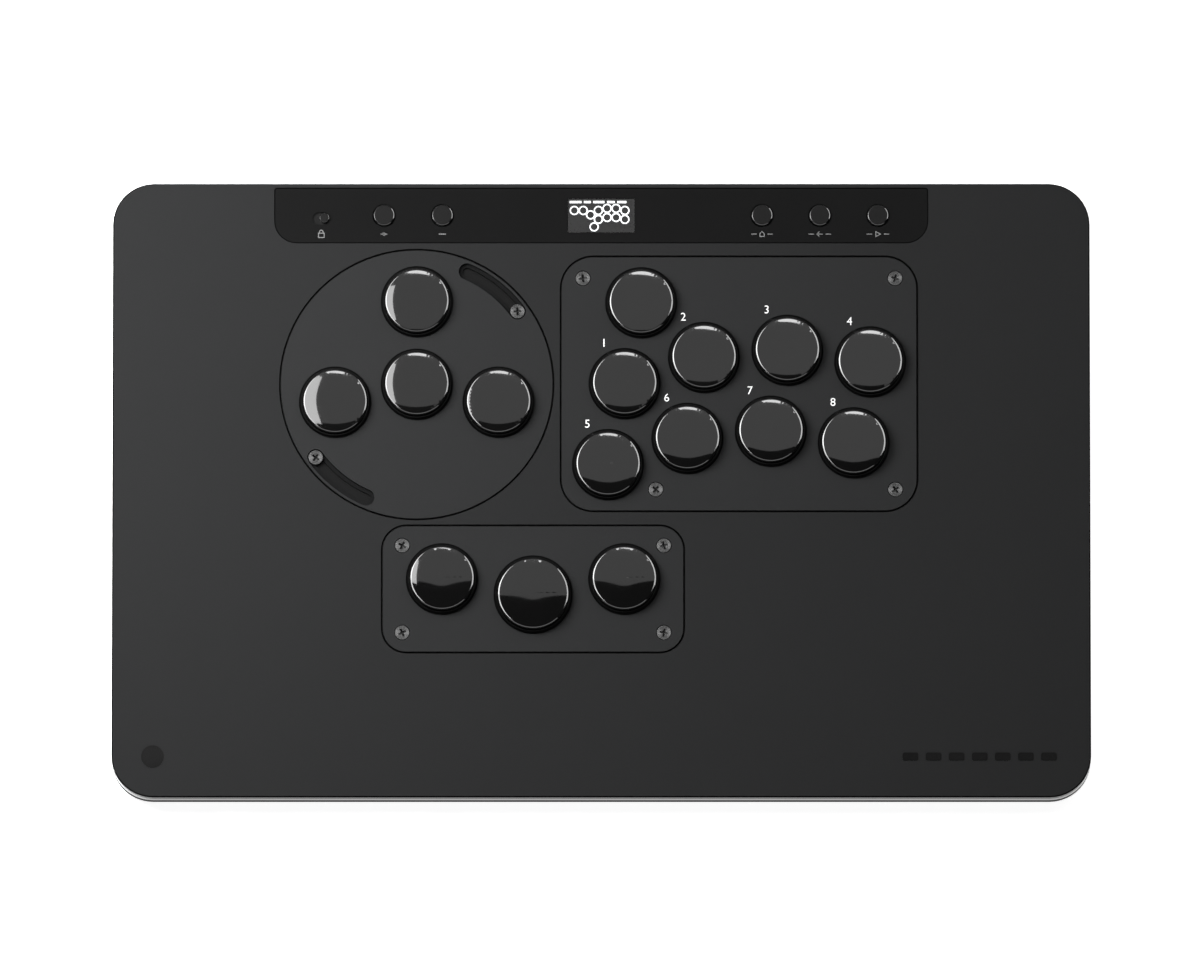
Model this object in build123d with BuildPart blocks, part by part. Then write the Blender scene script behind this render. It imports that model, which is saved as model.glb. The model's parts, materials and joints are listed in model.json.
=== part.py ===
from build123d import *

import os
from math import cos, radians, sin

# A slim arcade control panel that is played with buttons alone: a turntable of four direction
# buttons, a plate of nine action buttons, a plate of three thumb buttons, and a control strip
# with a small display.  Millimetres, +X to the player's right, +Y away from the player, +Z up.
# The origin is under the middle of the case, on the surface that the rubber feet stand on.

os.makedirs("parts", exist_ok=True)

# ------------------------------------------------------------------ case sizes
panel_w = 365.0
panel_d = 232.0
panel_corner_r = 15.5
panel_chamfer = 0.5
opening_chamfer = 0.25
plate_chamfer = 0.25
groove = 0.3            # gap between an inlaid plate and the panel around it
wall = 2.5              # case wall
tray_chamfer = 1.0
tray_rim_h = 5.3
tongue_h = 1.0          # the trim frame's tongue stands this deep in the tray's rim
tongue_gap = 0.1
lip = 1.4               # the tray's rim outside the tongue
shadow_h = 0.5          # groove under the panel's edge
shadow_d = 0.8

# heights of the stack, from the table up
foot_h = 1.8
tray_floor = 1.5
board_gap = 1.3
board_t = 1.2
switch_h = 5.0
switch_gap = 0.7
plate_t = 3.0
frame_t = 1.5           # support frame under the panel
frame_gap = 0.2         # between the support frame and the case wall

# ------------------------------------------------------------------ buttons and switches
button_gap = 4.35       # between the bezels of two neighbouring buttons
cap_r = 12.2
big_extra_r = 1.3       # how much larger the middle thumb button is, in radius
cap_rise = 4.2
cap_wall = 1.4
cap_fillet = 1.0
crown_drop = 0.4        # how far the crown falls from the middle of a cap to its edge
crown_power = 3         # the crown is flat in the middle and falls with this power of the radius
crown_points = (0.25, 0.5, 0.75, 1.0)
cap_gap = 0.25          # between a cap and its bezel
bezel_face = 1.0        # width of the bezel's rim beside the cap
bezel_wall = 0.55
bezel_edge_h = 0.75
bezel_rise = 1.6
bezel_land = 0.3        # flat top of the bezel beside the cap
bezel_fillet = 0.35
bezel_fit = 0.05        # between a bezel's barrel and its plate
barrel_lift = 0.2       # a barrel ends this far above its plate's underside
press_gap = 0.2         # left under a cap's skirt and under its collar when it is pressed home
post_r = 2.0
post_bore_r = 1.4
running_gap = 0.05      # between a sliding post and its guide

switch_w = 14.0
switch_corner_r = 1.0
switch_chamfer = 0.5
switch_lid = 0.8
switch_floor = 0.6
switch_wall = 1.5
switch_peg_r = 1.6      # peg that locates a switch in its board
peg_gap = 0.1
stop_r = 2.7            # collar that keeps a plunger in its switch
stop_t = 0.5
stop_gap = 0.1
spring_len = 6.0
spring_mean_r = 1.1
spring_wire = 0.25
spring_turns = 5
spring_gap = 0.02
spring_peg_r = 0.6
spring_peg_h = 1.5

# ------------------------------------------------------------------ screws and standoffs
screw_r = 1.5
thread_gap = 0.03
shank_gap = 0.2
head_r = 2.75
head_h = 1.6
head_sink = 0.2
head_gap = 0.15
head_fillet = 0.2
recess_l = 3.0
recess_w = 0.8
recess_depth = 1.0
boss_r = 3.2
boss_h = 2.0
tab_r = 4.5
case_head_h = 1.2
case_head_sink = 0.1
case_recess_depth = 0.7
case_thread = 1.6       # how deep the case screws go into the panel
small_screw_r = 1.2
small_head_r = 2.2
small_head_h = 0.9
small_recess_l = 2.2
small_recess_w = 0.6
small_recess_depth = 0.5
small_thread = 3.8
standoff_r = 2.5

# ------------------------------------------------------------------ layout of the top
split_x = -14.95        # left edge of the action plate
disc_web = 3.05         # panel left between the turntable and the action plate
disc_back_web = 2.95    # panel left between the turntable and the control strip
disc_margin = 6.2       # from a direction button's bezel to the turntable's edge
side_button_drop = 12.5
action_web = 4.0        # from an action button's bezel to its plate's edge
action_back_web = 5.52
column_lean = 11.45
row_angles = (18.5, 5.0, -8.1)
action_corner_r = 12.0
action_screw_inset = 8.1
action_front_screw = 3.05  # to the right of the middle between the first two front buttons
thumb_x = -25.44
thumb_pitch_extra = 3.25
thumb_fan = 9.8
thumb_web_x = 8.75      # from the thumb buttons' bezels to the edges of their plate
thumb_web_back = 6.65
thumb_web_front = 6.95
thumb_corner_r = 9.0
thumb_screw_inset = 7.4
thumb_web = 5.51
thumb_disc_web = 2.6
ledge = 4.0             # how far the support frame reaches under an inlaid plate

# turntable
slot_margin = 4.2       # from an arc slot's middle line to the turntable's edge
slot_screw_angles = (36.4, 216.2)
swing = 30.0
bearing_margin = 6.9    # from the bearing to the turntable's edge
bearing_gap = 0.1
bearing_w = 2.0
disc_board_gap = 1.5    # between the turntable's board and the inside of its bearing lip
disc_standoff_r = 24.0
disc_standoff_angles = (40, 140, 230, 310)

# circuit boards under the plates
board_margin = 5.0
standoff_side = 13.0    # from the line between two buttons to the standoff beside it

# ------------------------------------------------------------------ control strip
strip_w = 243.7
strip_d = 20.35
strip_edge = 1.9        # from the strip to the back edge of the panel
strip_t = 1.0
strip_sink = 0.2
strip_gap = 0.15
strip_front_r = 8.3
strip_back_r = 1.0
function_x = (-81.2, -59.4, 60.1, 81.7, 103.4)
function_names = ("lamp", "mode", "home", "back", "start")
function_r = 4.05
function_hole_gap = 0.34
function_guide_gap = 0.09
function_rise = 1.0
function_fillet = 0.7
function_collar_r = 4.9
function_collar_t = 0.8
function_stem_r = 1.7
function_stem_dip = 1.0  # how far the stem reaches into its tact switch
tact_w = 6.0
tact_h = 3.0
tact_bore_gap = 0.2
tact_floor = 1.2
window_w = 24.8
window_d = 12.8
window_gap = 0.1
display_gap = 0.4
display_board_t = 1.2
display_board_edge = 2.5
header_w = 10.2
header_d = 2.5
knob_r = 1.825
knob_rise = 1.6
knob_fillet = 0.3
knob_gap = 0.275        # left between the knob and the end of its slot
knob_play = 0.2
lock_slot_l = 6.5
lock_slot_w = 4.7
slider_cover = 0.3      # how far the slider reaches past its slot on every side
slider_t = 0.9
slider_gap = 0.1
lock_x = -104.63
lock_drop = 1.1         # the lock switch sits this far in front of the strip's middle line
lever_l = 2.4
lever_w = 2.0
lever_dip = 1.2
lock_body = (11.0, 6.0, 4.0)

# ------------------------------------------------------------------ case hardware
case_inset = 11.5
case_strip_web = 11.5   # from the control strip's end to the screw beside it
case_front_x = 61.5     # from the middle to the inner pair of screws along the front
pillar_r = 4.5
foot_r = 8.0
foot_recess = 0.6
foot_inset_x = 28.0
foot_inset_y = 20.0
foot_fillet = 0.4
usb_w = 8.94
usb_h = 3.2
usb_l = 7.35
usb_corner_r = 1.5
usb_sink = 1.0          # the socket's mouth stands this far inside the back wall's face
usb_wall = 0.35
usb_tongue_w = 6.7
usb_tongue_t = 0.7
usb_cut_w = 11.0
usb_cut_h = 5.4
main_board_w = 230.0
main_board_edge = 1.0   # from the main board to the case wall
main_board_d = 18.0
main_boss_r = 3.0
main_screw_x = (-96.0, -38.0, 38.0, 93.0)
main_screw_edge = 3.2
chip_x = 24.0
chip_w = 9.0
chip_t = 1.2
memory_x = 38.0
memory_y = 4.0
memory_w = 5.2
memory_d = 5.3
plug_gap = 1.0          # between a plug and the row of tact switches behind it
plug_w = 9.0
plug_d = 4.0
plug_h = 2.2
ribbon_w = 8.0
ribbon_t = 0.3
action_ribbon_x = 71.0
badge_inset = 15.3
badge_r = 4.3
badge_t = 0.3
stripe_w = 6.0
stripe_d = 3.2
stripe_gap = 2.6
stripe_count = 7
stripe_corner_r = 0.8
stripe_middle = 41.5    # from the panel's right edge to the middle of the stripes

# ------------------------------------------------------------------ levels worked out
tray_z = foot_h
floor_z = tray_z + tray_floor
board_z = floor_z + board_gap
switch_z = board_z + board_t
lid_z = switch_z + switch_h
plate_z = lid_z + switch_gap
top_z = plate_z + plate_t
frame_z = plate_z - frame_t
rim_z = tray_z + tray_rim_h
head_z = top_z - head_sink - head_h
cap_top_z = top_z + cap_rise
travel = switch_h - switch_floor - switch_lid - stop_gap - stop_t - press_gap
skirt_z = lid_z + travel + press_gap
strip_z = top_z - strip_sink - strip_t
spring_z = switch_z + switch_floor

# ------------------------------------------------------------------ places worked out
strip_back = panel_d / 2 - strip_edge
strip_front = strip_back - strip_d
strip_y = (strip_back + strip_front) / 2
lock_y = strip_y - lock_drop
function_points = [(x, strip_y) for x in function_x]

cap_bore_r = cap_r + cap_gap
bezel_r = cap_bore_r + bezel_face
plate_hole_r = cap_bore_r + bezel_wall + bezel_fit

button_pitch = 2 * bezel_r + button_gap
disc_r = button_pitch + bezel_r + disc_margin
disc_at = (split_x - disc_web - disc_r, strip_front - disc_back_web - disc_r)
slot_r = disc_r - slot_margin
bearing_r = disc_r - bearing_margin
lip_r = bearing_r - bearing_gap
disc_board_r = lip_r - bearing_w - disc_board_gap


def polar(origin, length, angle):
    """The point at a length and an angle in degrees from origin."""
    return (origin[0] + length * cos(radians(angle)), origin[1] + length * sin(radians(angle)))


def from_middle(middle, offsets):
    """Points given as offsets from a middle point."""
    return [(middle[0] + x, middle[1] + y) for x, y in offsets]


def beside(start, end, side):
    """The point off the middle of the line from start to end, side to its left."""
    run = Vector(end) - Vector(start)
    point = (Vector(start) + Vector(end)) / 2 + run.normalized().rotate(Axis.Z, 90) * side
    return (point.X, point.Y)


disc_buttons = {
    "button_down": disc_at,
    "button_up": polar(disc_at, button_pitch, 90),
    "button_left": polar(disc_at, button_pitch, 180 + side_button_drop),
    "button_right": polar(disc_at, button_pitch, -side_button_drop),
}

# the action buttons stand in leaning columns, and each row bends as the fingers do
column_down = -90 - column_lean
column_up = 90 - column_lean
action_back = strip_front - action_back_web
action_margin = bezel_r + action_web
columns_rise = 2 * button_pitch * cos(radians(column_lean))
index_front = (split_x + action_margin, action_back - action_margin - columns_rise)
index_middle = polar(index_front, button_pitch, column_up)
middle_back = polar(index_middle, button_pitch, row_angles[0])
ring_back = polar(middle_back, button_pitch, row_angles[1])
little_back = polar(ring_back, button_pitch, row_angles[2])
action_buttons = {
    "button_action_1": index_middle,
    "button_action_2": middle_back,
    "button_action_3": ring_back,
    "button_action_4": little_back,
    "button_action_5": index_front,
    "button_action_6": polar(middle_back, button_pitch, column_down),
    "button_action_7": polar(ring_back, button_pitch, column_down),
    "button_action_8": polar(little_back, button_pitch, column_down),
    "button_action_extra": polar(index_middle, button_pitch, column_up),
}
action_right = max(x for x, y in action_buttons.values()) + action_margin
action_front = min(y for x, y in action_buttons.values()) - action_margin
action_w = action_right - split_x
action_d = action_back - action_front
action_at = (split_x + action_w / 2, action_front + action_d / 2)
action_screws = [
    (split_x + action_screw_inset, action_back - action_screw_inset),
    (action_right - action_screw_inset, action_back - action_screw_inset),
    (action_right - action_screw_inset, action_front + action_screw_inset),
    ((index_front[0] + action_buttons["button_action_6"][0]) / 2 + action_front_screw,
     action_front + action_screw_inset),
]

thumb_back = min(action_front - thumb_web, disc_at[1] - disc_r - thumb_disc_web)
thumb_pitch = button_pitch + thumb_pitch_extra
thumb_fan_rise = thumb_pitch * sin(radians(thumb_fan))
thumb_middle = (thumb_x, thumb_back - thumb_web_back - bezel_r - thumb_fan_rise)
thumb_buttons = {
    "button_thumb_left": polar(thumb_middle, thumb_pitch, 180 - thumb_fan),
    "button_thumb_middle": thumb_middle,
    "button_thumb_right": polar(thumb_middle, thumb_pitch, thumb_fan),
}
thumb_front = thumb_middle[1] - bezel_r - big_extra_r - thumb_web_front
thumb_w = 2 * (thumb_pitch * cos(radians(thumb_fan)) + bezel_r + thumb_web_x)
thumb_d = thumb_back - thumb_front
thumb_at = (thumb_x, (thumb_back + thumb_front) / 2)
thumb_screws = from_middle(thumb_at, [
    (side * (thumb_w / 2 - thumb_screw_inset), end * (thumb_d / 2 - thumb_screw_inset))
    for side in (-1, 1) for end in (-1, 1)])

disc_screws = [polar(disc_at, slot_r, angle) for angle in slot_screw_angles]
slot_arcs = [CenterArc(disc_at, slot_r, angle, swing) for angle in slot_screw_angles]

case_x = panel_w / 2 - case_inset
case_y = panel_d / 2 - case_inset
case_half = ((case_x, case_y), (case_x, 0), (case_x, -case_y),
             (strip_w / 2 + case_strip_web, case_y), (case_front_x, -case_y))
case_points = [(side * x, y) for side in (-1, 1) for x, y in case_half]
foot_y = panel_d / 2 - foot_inset_y
foot_points = [(x, y) for x in (foot_inset_x - panel_w / 2, 0, panel_w / 2 - foot_inset_x)
               for y in (-foot_y, foot_y)]

main_board_y = panel_d / 2 - wall - main_board_edge - main_board_d / 2
plug_y = strip_y - tact_w / 2 - plug_gap - plug_d / 2
main_screws = [(x, main_board_y - main_board_d / 2 + main_screw_edge) for x in main_screw_x]
usb_z = switch_z + usb_h / 2
usb_mouth = panel_d / 2 - usb_sink

badge_y = badge_inset - panel_d / 2
badge_at = (badge_inset - panel_w / 2, badge_y)
stripe_points = [(panel_w / 2 - stripe_middle + i * (stripe_w + stripe_gap), badge_y)
                 for i in range(-(stripe_count // 2), stripe_count // 2 + 1)]

knob_travel = lock_slot_l - 2 * (knob_r + knob_gap)
slider_l = lock_slot_l + knob_travel + 2 * slider_cover
slider_w = lock_slot_w + 2 * slider_cover
slider_slot_l = slider_l + knob_travel + 2 * knob_play
slider_slot_w = slider_w + 2 * knob_play


def save(piece, name):
    """Label a finished piece and write it to its own STEP file."""
    piece.part.label = name
    export_step(piece.part, f"parts/{name}.step")


def chamfer_top_rim(piece, length):
    """Chamfer the outer edge of a piece's highest face."""
    highest = piece.faces().sort_by(Axis.Z)[-1]
    chamfer(highest.outer_wire().edges(), length=length)


# ------------------------------------------------------------------ case: panel, trim, tray
with BuildPart() as top_panel:
    with BuildSketch(Plane.XY.offset(plate_z)):
        RectangleRounded(panel_w, panel_d, panel_corner_r)
        with Locations(disc_at):
            Circle(disc_r + groove, mode=Mode.SUBTRACT)
        with Locations(action_at):
            RectangleRounded(action_w + 2 * groove, action_d + 2 * groove,
                             action_corner_r + groove, mode=Mode.SUBTRACT)
        with Locations(thumb_at):
            RectangleRounded(thumb_w + 2 * groove, thumb_d + 2 * groove,
                             thumb_corner_r + groove, mode=Mode.SUBTRACT)
    extrude(amount=plate_t)
    # the control strip lies in a pocket along the back
    with BuildSketch(Plane.XY.offset(strip_z)) as pocket:
        with Locations((0, strip_y)):
            Rectangle(strip_w + 2 * strip_gap, strip_d + 2 * strip_gap)
        fillet(pocket.vertices().group_by(Axis.Y)[0], radius=strip_front_r)
        fillet(pocket.vertices().group_by(Axis.Y)[-1], radius=strip_back_r)
    extrude(amount=strip_t + strip_sink, mode=Mode.SUBTRACT)
    chamfer_top_rim(top_panel, panel_chamfer)
    top_face = top_panel.faces().sort_by(Axis.Z)[-1]
    opening_edges = [edge for wire in top_face.inner_wires() for edge in wire.edges()]
    chamfer(opening_edges, length=opening_chamfer)
    # through the pocket's floor: function buttons, lock slider and display
    with BuildSketch(Plane.XY.offset(plate_z)):
        with Locations(*function_points):
            Circle(function_r + function_guide_gap)
        with Locations((lock_x, lock_y)):
            Rectangle(slider_slot_l, slider_slot_w)
        with Locations((0, strip_y)):
            Rectangle(window_w + 2 * display_gap, window_d + 2 * display_gap)
    extrude(amount=plate_t, mode=Mode.SUBTRACT)
    # blind threads for the case screws
    with BuildSketch(Plane.XY.offset(plate_z)):
        with Locations(*case_points):
            Circle(screw_r + thread_gap)
    extrude(amount=case_thread + shank_gap, mode=Mode.SUBTRACT)
    # shallow beds for the inlaid marks
    with BuildSketch(Plane.XY.offset(top_z - badge_t)):
        with Locations(badge_at):
            Circle(badge_r)
        with Locations(*stripe_points):
            RectangleRounded(stripe_w, stripe_d, stripe_corner_r)
    extrude(amount=badge_t, mode=Mode.SUBTRACT)
save(top_panel, "top_panel")

with BuildPart() as trim_frame:
    with BuildSketch(Plane.XY.offset(rim_z)):
        RectangleRounded(panel_w, panel_d, panel_corner_r)
        RectangleRounded(panel_w - 2 * wall, panel_d - 2 * wall, panel_corner_r - wall,
                         mode=Mode.SUBTRACT)
    extrude(amount=plate_z - rim_z)
    # tongue that stands in the tray's rim
    tongue_inset = lip + tongue_gap
    with BuildSketch(Plane.XY.offset(rim_z)):
        RectangleRounded(panel_w - 2 * tongue_inset, panel_d - 2 * tongue_inset,
                         panel_corner_r - tongue_inset)
        RectangleRounded(panel_w - 2 * wall, panel_d - 2 * wall, panel_corner_r - wall,
                         mode=Mode.SUBTRACT)
    extrude(amount=-tongue_h)
    # shadow groove under the panel's edge
    with BuildSketch(Plane.XY.offset(plate_z - shadow_h)):
        RectangleRounded(panel_w, panel_d, panel_corner_r)
        RectangleRounded(panel_w - 2 * shadow_d, panel_d - 2 * shadow_d,
                         panel_corner_r - shadow_d, mode=Mode.SUBTRACT)
    extrude(amount=shadow_h, mode=Mode.SUBTRACT)
    with Locations((0, panel_d / 2, usb_z)):
        Box(usb_cut_w, 4 * wall, usb_cut_h, mode=Mode.SUBTRACT)
save(trim_frame, "trim_frame")

with BuildPart() as bottom_tray:
    with BuildSketch(Plane.XY.offset(tray_z)):
        RectangleRounded(panel_w, panel_d, panel_corner_r)
    extrude(amount=tray_rim_h)
    chamfer(bottom_tray.faces().sort_by(Axis.Z)[0].outer_wire().edges(), length=tray_chamfer)
    with BuildSketch(Plane.XY.offset(floor_z)):
        RectangleRounded(panel_w - 2 * wall, panel_d - 2 * wall, panel_corner_r - wall)
    extrude(amount=tray_rim_h, mode=Mode.SUBTRACT)
    with BuildSketch(Plane.XY.offset(rim_z - tongue_h - tongue_gap)):
        RectangleRounded(panel_w - 2 * lip, panel_d - 2 * lip, panel_corner_r - lip)
    extrude(amount=tongue_h + tongue_gap, mode=Mode.SUBTRACT)
    # pillars for the case screws and low bosses for the main board
    with BuildSketch(Plane.XY.offset(floor_z)):
        with Locations(*case_points):
            Circle(pillar_r)
    extrude(amount=frame_z - floor_z)
    with BuildSketch(Plane.XY.offset(floor_z)):
        with Locations(*main_screws):
            Circle(main_boss_r)
    extrude(amount=board_gap)
    with BuildSketch(Plane.XY.offset(board_z)):
        with Locations(*main_screws):
            Circle(small_screw_r + thread_gap)
    extrude(amount=-(board_gap + tray_floor / 2), mode=Mode.SUBTRACT)
    # screw holes, counterbored from below, and beds for the feet
    with BuildSketch(Plane.XY.offset(tray_z)):
        with Locations(*case_points):
            Circle(screw_r + shank_gap)
    extrude(amount=frame_z - tray_z, mode=Mode.SUBTRACT)
    with BuildSketch(Plane.XY.offset(tray_z)):
        with Locations(*case_points):
            Circle(head_r + head_gap)
    extrude(amount=case_head_h + case_head_sink, mode=Mode.SUBTRACT)
    with BuildSketch(Plane.XY.offset(tray_z)):
        with Locations(*foot_points):
            Circle(foot_r)
    extrude(amount=foot_recess, mode=Mode.SUBTRACT)
    with Locations((0, panel_d / 2, usb_z)):
        Box(usb_cut_w, 4 * wall, usb_cut_h, mode=Mode.SUBTRACT)
save(bottom_tray, "bottom_tray")

with BuildPart() as rubber_feet:
    with BuildSketch():
        with Locations(*foot_points):
            Circle(foot_r)
    extrude(amount=foot_h + foot_recess)
    fillet(rubber_feet.edges().group_by(Axis.Z)[0], radius=foot_fillet)
save(rubber_feet, "rubber_feet")

with BuildPart() as support_frame:
    frame_inset = wall + frame_gap
    with BuildSketch(Plane.XY.offset(frame_z)):
        RectangleRounded(panel_w - 2 * frame_inset, panel_d - 2 * frame_inset,
                         panel_corner_r - frame_inset)
        with Locations(disc_at):
            Circle(bearing_r, mode=Mode.SUBTRACT)
        with Locations(action_at):
            RectangleRounded(action_w - 2 * ledge, action_d - 2 * ledge,
                             action_corner_r - ledge, mode=Mode.SUBTRACT)
        with Locations(thumb_at):
            RectangleRounded(thumb_w - 2 * ledge, thumb_d - 2 * ledge,
                             thumb_corner_r - ledge, mode=Mode.SUBTRACT)
        with Locations((0, strip_y)):
            Rectangle(strip_w - 2 * ledge, strip_d - 2 * ledge, mode=Mode.SUBTRACT)
        with Locations(*action_screws, *thumb_screws):
            Circle(tab_r)
        with Locations(*case_points):
            Circle(screw_r + shank_gap, mode=Mode.SUBTRACT)
    extrude(amount=frame_t)
    # threaded bosses for the screws of the three inlaid plates
    with BuildSketch(Plane.XY.offset(frame_z)):
        with Locations(*action_screws, *thumb_screws, *disc_screws):
            Circle(boss_r)
    extrude(amount=-boss_h)
    with BuildSketch(Plane.XY.offset(frame_z - boss_h)):
        with Locations(*action_screws, *thumb_screws, *disc_screws):
            Circle(screw_r + thread_gap)
    extrude(amount=boss_h + frame_t, mode=Mode.SUBTRACT)
save(support_frame, "support_frame")


# ------------------------------------------------------------------ shapes used many times
def screw_shape(shank_r, length, radius, height, cross_l, cross_w, cross_depth):
    """A flat-headed screw with a cross recess, its head's underside at z = 0."""
    with BuildPart() as screw:
        with BuildSketch():
            Circle(radius)
        extrude(amount=height)
        fillet(screw.edges().group_by(Axis.Z)[-1], radius=head_fillet)
        with BuildSketch():
            Circle(shank_r)
        extrude(amount=-length)
        with BuildSketch(Plane.XY.offset(height)):
            Rectangle(cross_l, cross_w)
            Rectangle(cross_w, cross_l)
        extrude(amount=-cross_depth, mode=Mode.SUBTRACT)
    return screw.part


def bezel_shape(outer_r, inner_r):
    """The fixed ring round a cap: a barrel in the plate and a sloping rim on top of it."""
    barrel_r = inner_r + bezel_wall
    with BuildPart() as bezel:
        with BuildSketch(Plane.XZ) as half:
            with BuildLine():
                Polyline((inner_r, plate_z + barrel_lift), (barrel_r, plate_z + barrel_lift),
                         (barrel_r, top_z), (outer_r, top_z), (outer_r, top_z + bezel_edge_h),
                         (inner_r + bezel_land, top_z + bezel_rise),
                         (inner_r, top_z + bezel_rise), close=True)
            make_face()
            fillet(half.vertices().group_by(Axis.X)[-1].sort_by(Axis.Y)[-1], radius=bezel_fillet)
        revolve(axis=Axis.Z)
    return bezel.part


def plunger_shape(radius):
    """A moving button: crowned cap, skirt, and the hollow post that slides in its switch."""
    stop_top = lid_z - switch_lid - stop_gap
    stop_low = stop_top - stop_t
    bore_top = spring_z + spring_len
    ceiling = cap_top_z - cap_wall
    edge_z = cap_top_z - crown_drop
    crown = [(part * radius, cap_top_z - crown_drop * part ** crown_power)
             for part in crown_points]
    crown_end = (radius, -crown_power * crown_drop)
    with BuildPart() as plunger:
        with BuildSketch(Plane.XZ):
            with BuildLine():
                Polyline((0, cap_top_z), (0, bore_top), (post_bore_r, bore_top),
                         (post_bore_r, stop_low), (stop_r, stop_low), (stop_r, stop_top),
                         (post_r, stop_top), (post_r, ceiling), (radius - cap_wall, ceiling),
                         (radius - cap_wall, skirt_z), (radius, skirt_z), (radius, edge_z))
                Spline((0, cap_top_z), *crown, tangents=((1, 0), crown_end))
            make_face()
        revolve(axis=Axis.Z)
        rim = plunger.edges().filter_by(GeomType.CIRCLE).filter_by_position(
            Axis.Z, edge_z - crown_drop, edge_z + crown_drop / 2)
        fillet(rim, radius=cap_fillet)
    return plunger.part


def switch_shape():
    """A low key switch: hollow housing, guide hole in its lid, and a peg into the board."""
    with BuildPart() as switch:
        with BuildSketch(Plane.XY.offset(switch_z)):
            RectangleRounded(switch_w, switch_w, switch_corner_r)
        extrude(amount=switch_h)
        chamfer(switch.edges().group_by(Axis.Z)[-1], length=switch_chamfer)
        with BuildSketch(Plane.XY.offset(spring_z)):
            Rectangle(switch_w - 2 * switch_wall, switch_w - 2 * switch_wall)
        extrude(amount=switch_h - switch_floor - switch_lid, mode=Mode.SUBTRACT)
        with BuildSketch(Plane.XY.offset(lid_z)):
            Circle(post_r + running_gap)
        extrude(amount=-switch_lid, mode=Mode.SUBTRACT)
        with BuildSketch(Plane.XY.offset(spring_z)):
            Circle(spring_peg_r)
        extrude(amount=spring_peg_h)
        with BuildSketch(Plane.XY.offset(switch_z)):
            Circle(switch_peg_r)
        extrude(amount=-board_t)
    return switch.part


def spring_shape():
    """The return spring, standing on the switch's floor inside the plunger's post."""
    coil_h = spring_len - spring_wire - 2 * spring_gap
    with BuildPart() as spring:
        with BuildLine() as coil:
            Helix(coil_h / spring_turns, coil_h, spring_mean_r,
                  center=(0, 0, spring_z + spring_wire / 2 + spring_gap))
        with BuildSketch(Plane(coil.line @ 0, z_dir=coil.line % 0)):
            Circle(spring_wire / 2)
        sweep(is_frenet=True)
    return spring.part


def standoff_shape():
    """A standoff between a plate and its board, with a blind thread from below."""
    with BuildPart() as standoff:
        with BuildSketch(Plane.XY.offset(switch_z)):
            Circle(standoff_r)
        extrude(amount=plate_z - switch_z)
        with BuildSketch(Plane.XY.offset(switch_z)):
            Circle(small_screw_r + thread_gap)
        extrude(amount=small_thread + shank_gap, mode=Mode.SUBTRACT)
    return standoff.part


plate_screw = screw_shape(screw_r, head_z - frame_z + boss_h, head_r, head_h,
                          recess_l, recess_w, recess_depth)
case_screw = screw_shape(screw_r, plate_z + case_thread - tray_z - case_head_h - case_head_sink,
                         head_r, case_head_h, recess_l, recess_w, case_recess_depth)
board_screw = screw_shape(small_screw_r, board_t + small_thread, small_head_r, small_head_h,
                          small_recess_l, small_recess_w, small_recess_depth)
small_bezel = bezel_shape(bezel_r, cap_bore_r)
big_bezel = bezel_shape(bezel_r + big_extra_r, cap_bore_r + big_extra_r)
one_switch = switch_shape()
one_spring = spring_shape()
one_standoff = standoff_shape()

screw_turn = 37         # each screw of a group stops at its own angle


def turned(points, z, flip=0):
    """Places at one height, each turned on, or turned over to point up from below."""
    return [Location((x, y, z), (flip, 0, i * screw_turn)) for i, (x, y) in enumerate(points)]


# ------------------------------------------------------------------ fasteners of the case
with BuildPart() as case_screws_group:
    with Locations(*turned(case_points, tray_z + case_head_h + case_head_sink, 180)):
        add(case_screw)
save(case_screws_group, "case_screws")

with BuildPart() as plate_screws_group:
    with Locations(*turned(action_screws + thumb_screws, head_z)):
        add(plate_screw)
save(plate_screws_group, "plate_screws")

with BuildPart() as disc_screws_group:
    with Locations(*turned(disc_screws, head_z)):
        add(plate_screw)
save(disc_screws_group, "disc_screws")

# ------------------------------------------------------------------ turntable
disc_standoff_points = [polar(disc_at, disc_standoff_r, a) for a in disc_standoff_angles]

with BuildPart() as disc_plate:
    with BuildSketch(Plane.XY.offset(plate_z)):
        with Locations(disc_at):
            Circle(disc_r)
    extrude(amount=plate_t)
    chamfer_top_rim(disc_plate, plate_chamfer)
    # bearing lip that turns in the support frame
    with BuildSketch(Plane.XY.offset(plate_z)):
        with Locations(disc_at):
            Circle(lip_r)
            Circle(lip_r - bearing_w, mode=Mode.SUBTRACT)
    extrude(amount=-(frame_t - bearing_gap))
    with BuildSketch(Plane.XY.offset(frame_z)):
        with Locations(*disc_buttons.values()):
            Circle(plate_hole_r)
    extrude(amount=top_z - frame_z, mode=Mode.SUBTRACT)
    # arc slots that limit the swing, stepped for the screw heads
    with BuildSketch(Plane.XY.offset(plate_z)):
        for arc in slot_arcs:
            SlotArc(arc, 2 * (screw_r + shank_gap))
    extrude(amount=plate_t, mode=Mode.SUBTRACT)
    with BuildSketch(Plane.XY.offset(head_z)):
        for arc in slot_arcs:
            SlotArc(arc, 2 * (head_r + head_gap + shank_gap))
    extrude(amount=plate_t, mode=Mode.SUBTRACT)
save(disc_plate, "disc_plate")

with BuildPart() as disc_bezels:
    with Locations(*disc_buttons.values()):
        add(small_bezel)
save(disc_bezels, "disc_bezels")

with BuildPart() as disc_switches:
    with Locations(*disc_buttons.values()):
        add(one_switch)
save(disc_switches, "disc_switches")

with BuildPart() as disc_springs:
    with Locations(*disc_buttons.values()):
        add(one_spring)
save(disc_springs, "disc_springs")

with BuildPart() as disc_standoffs:
    with Locations(*disc_standoff_points):
        add(one_standoff)
save(disc_standoffs, "disc_standoffs")

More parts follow.
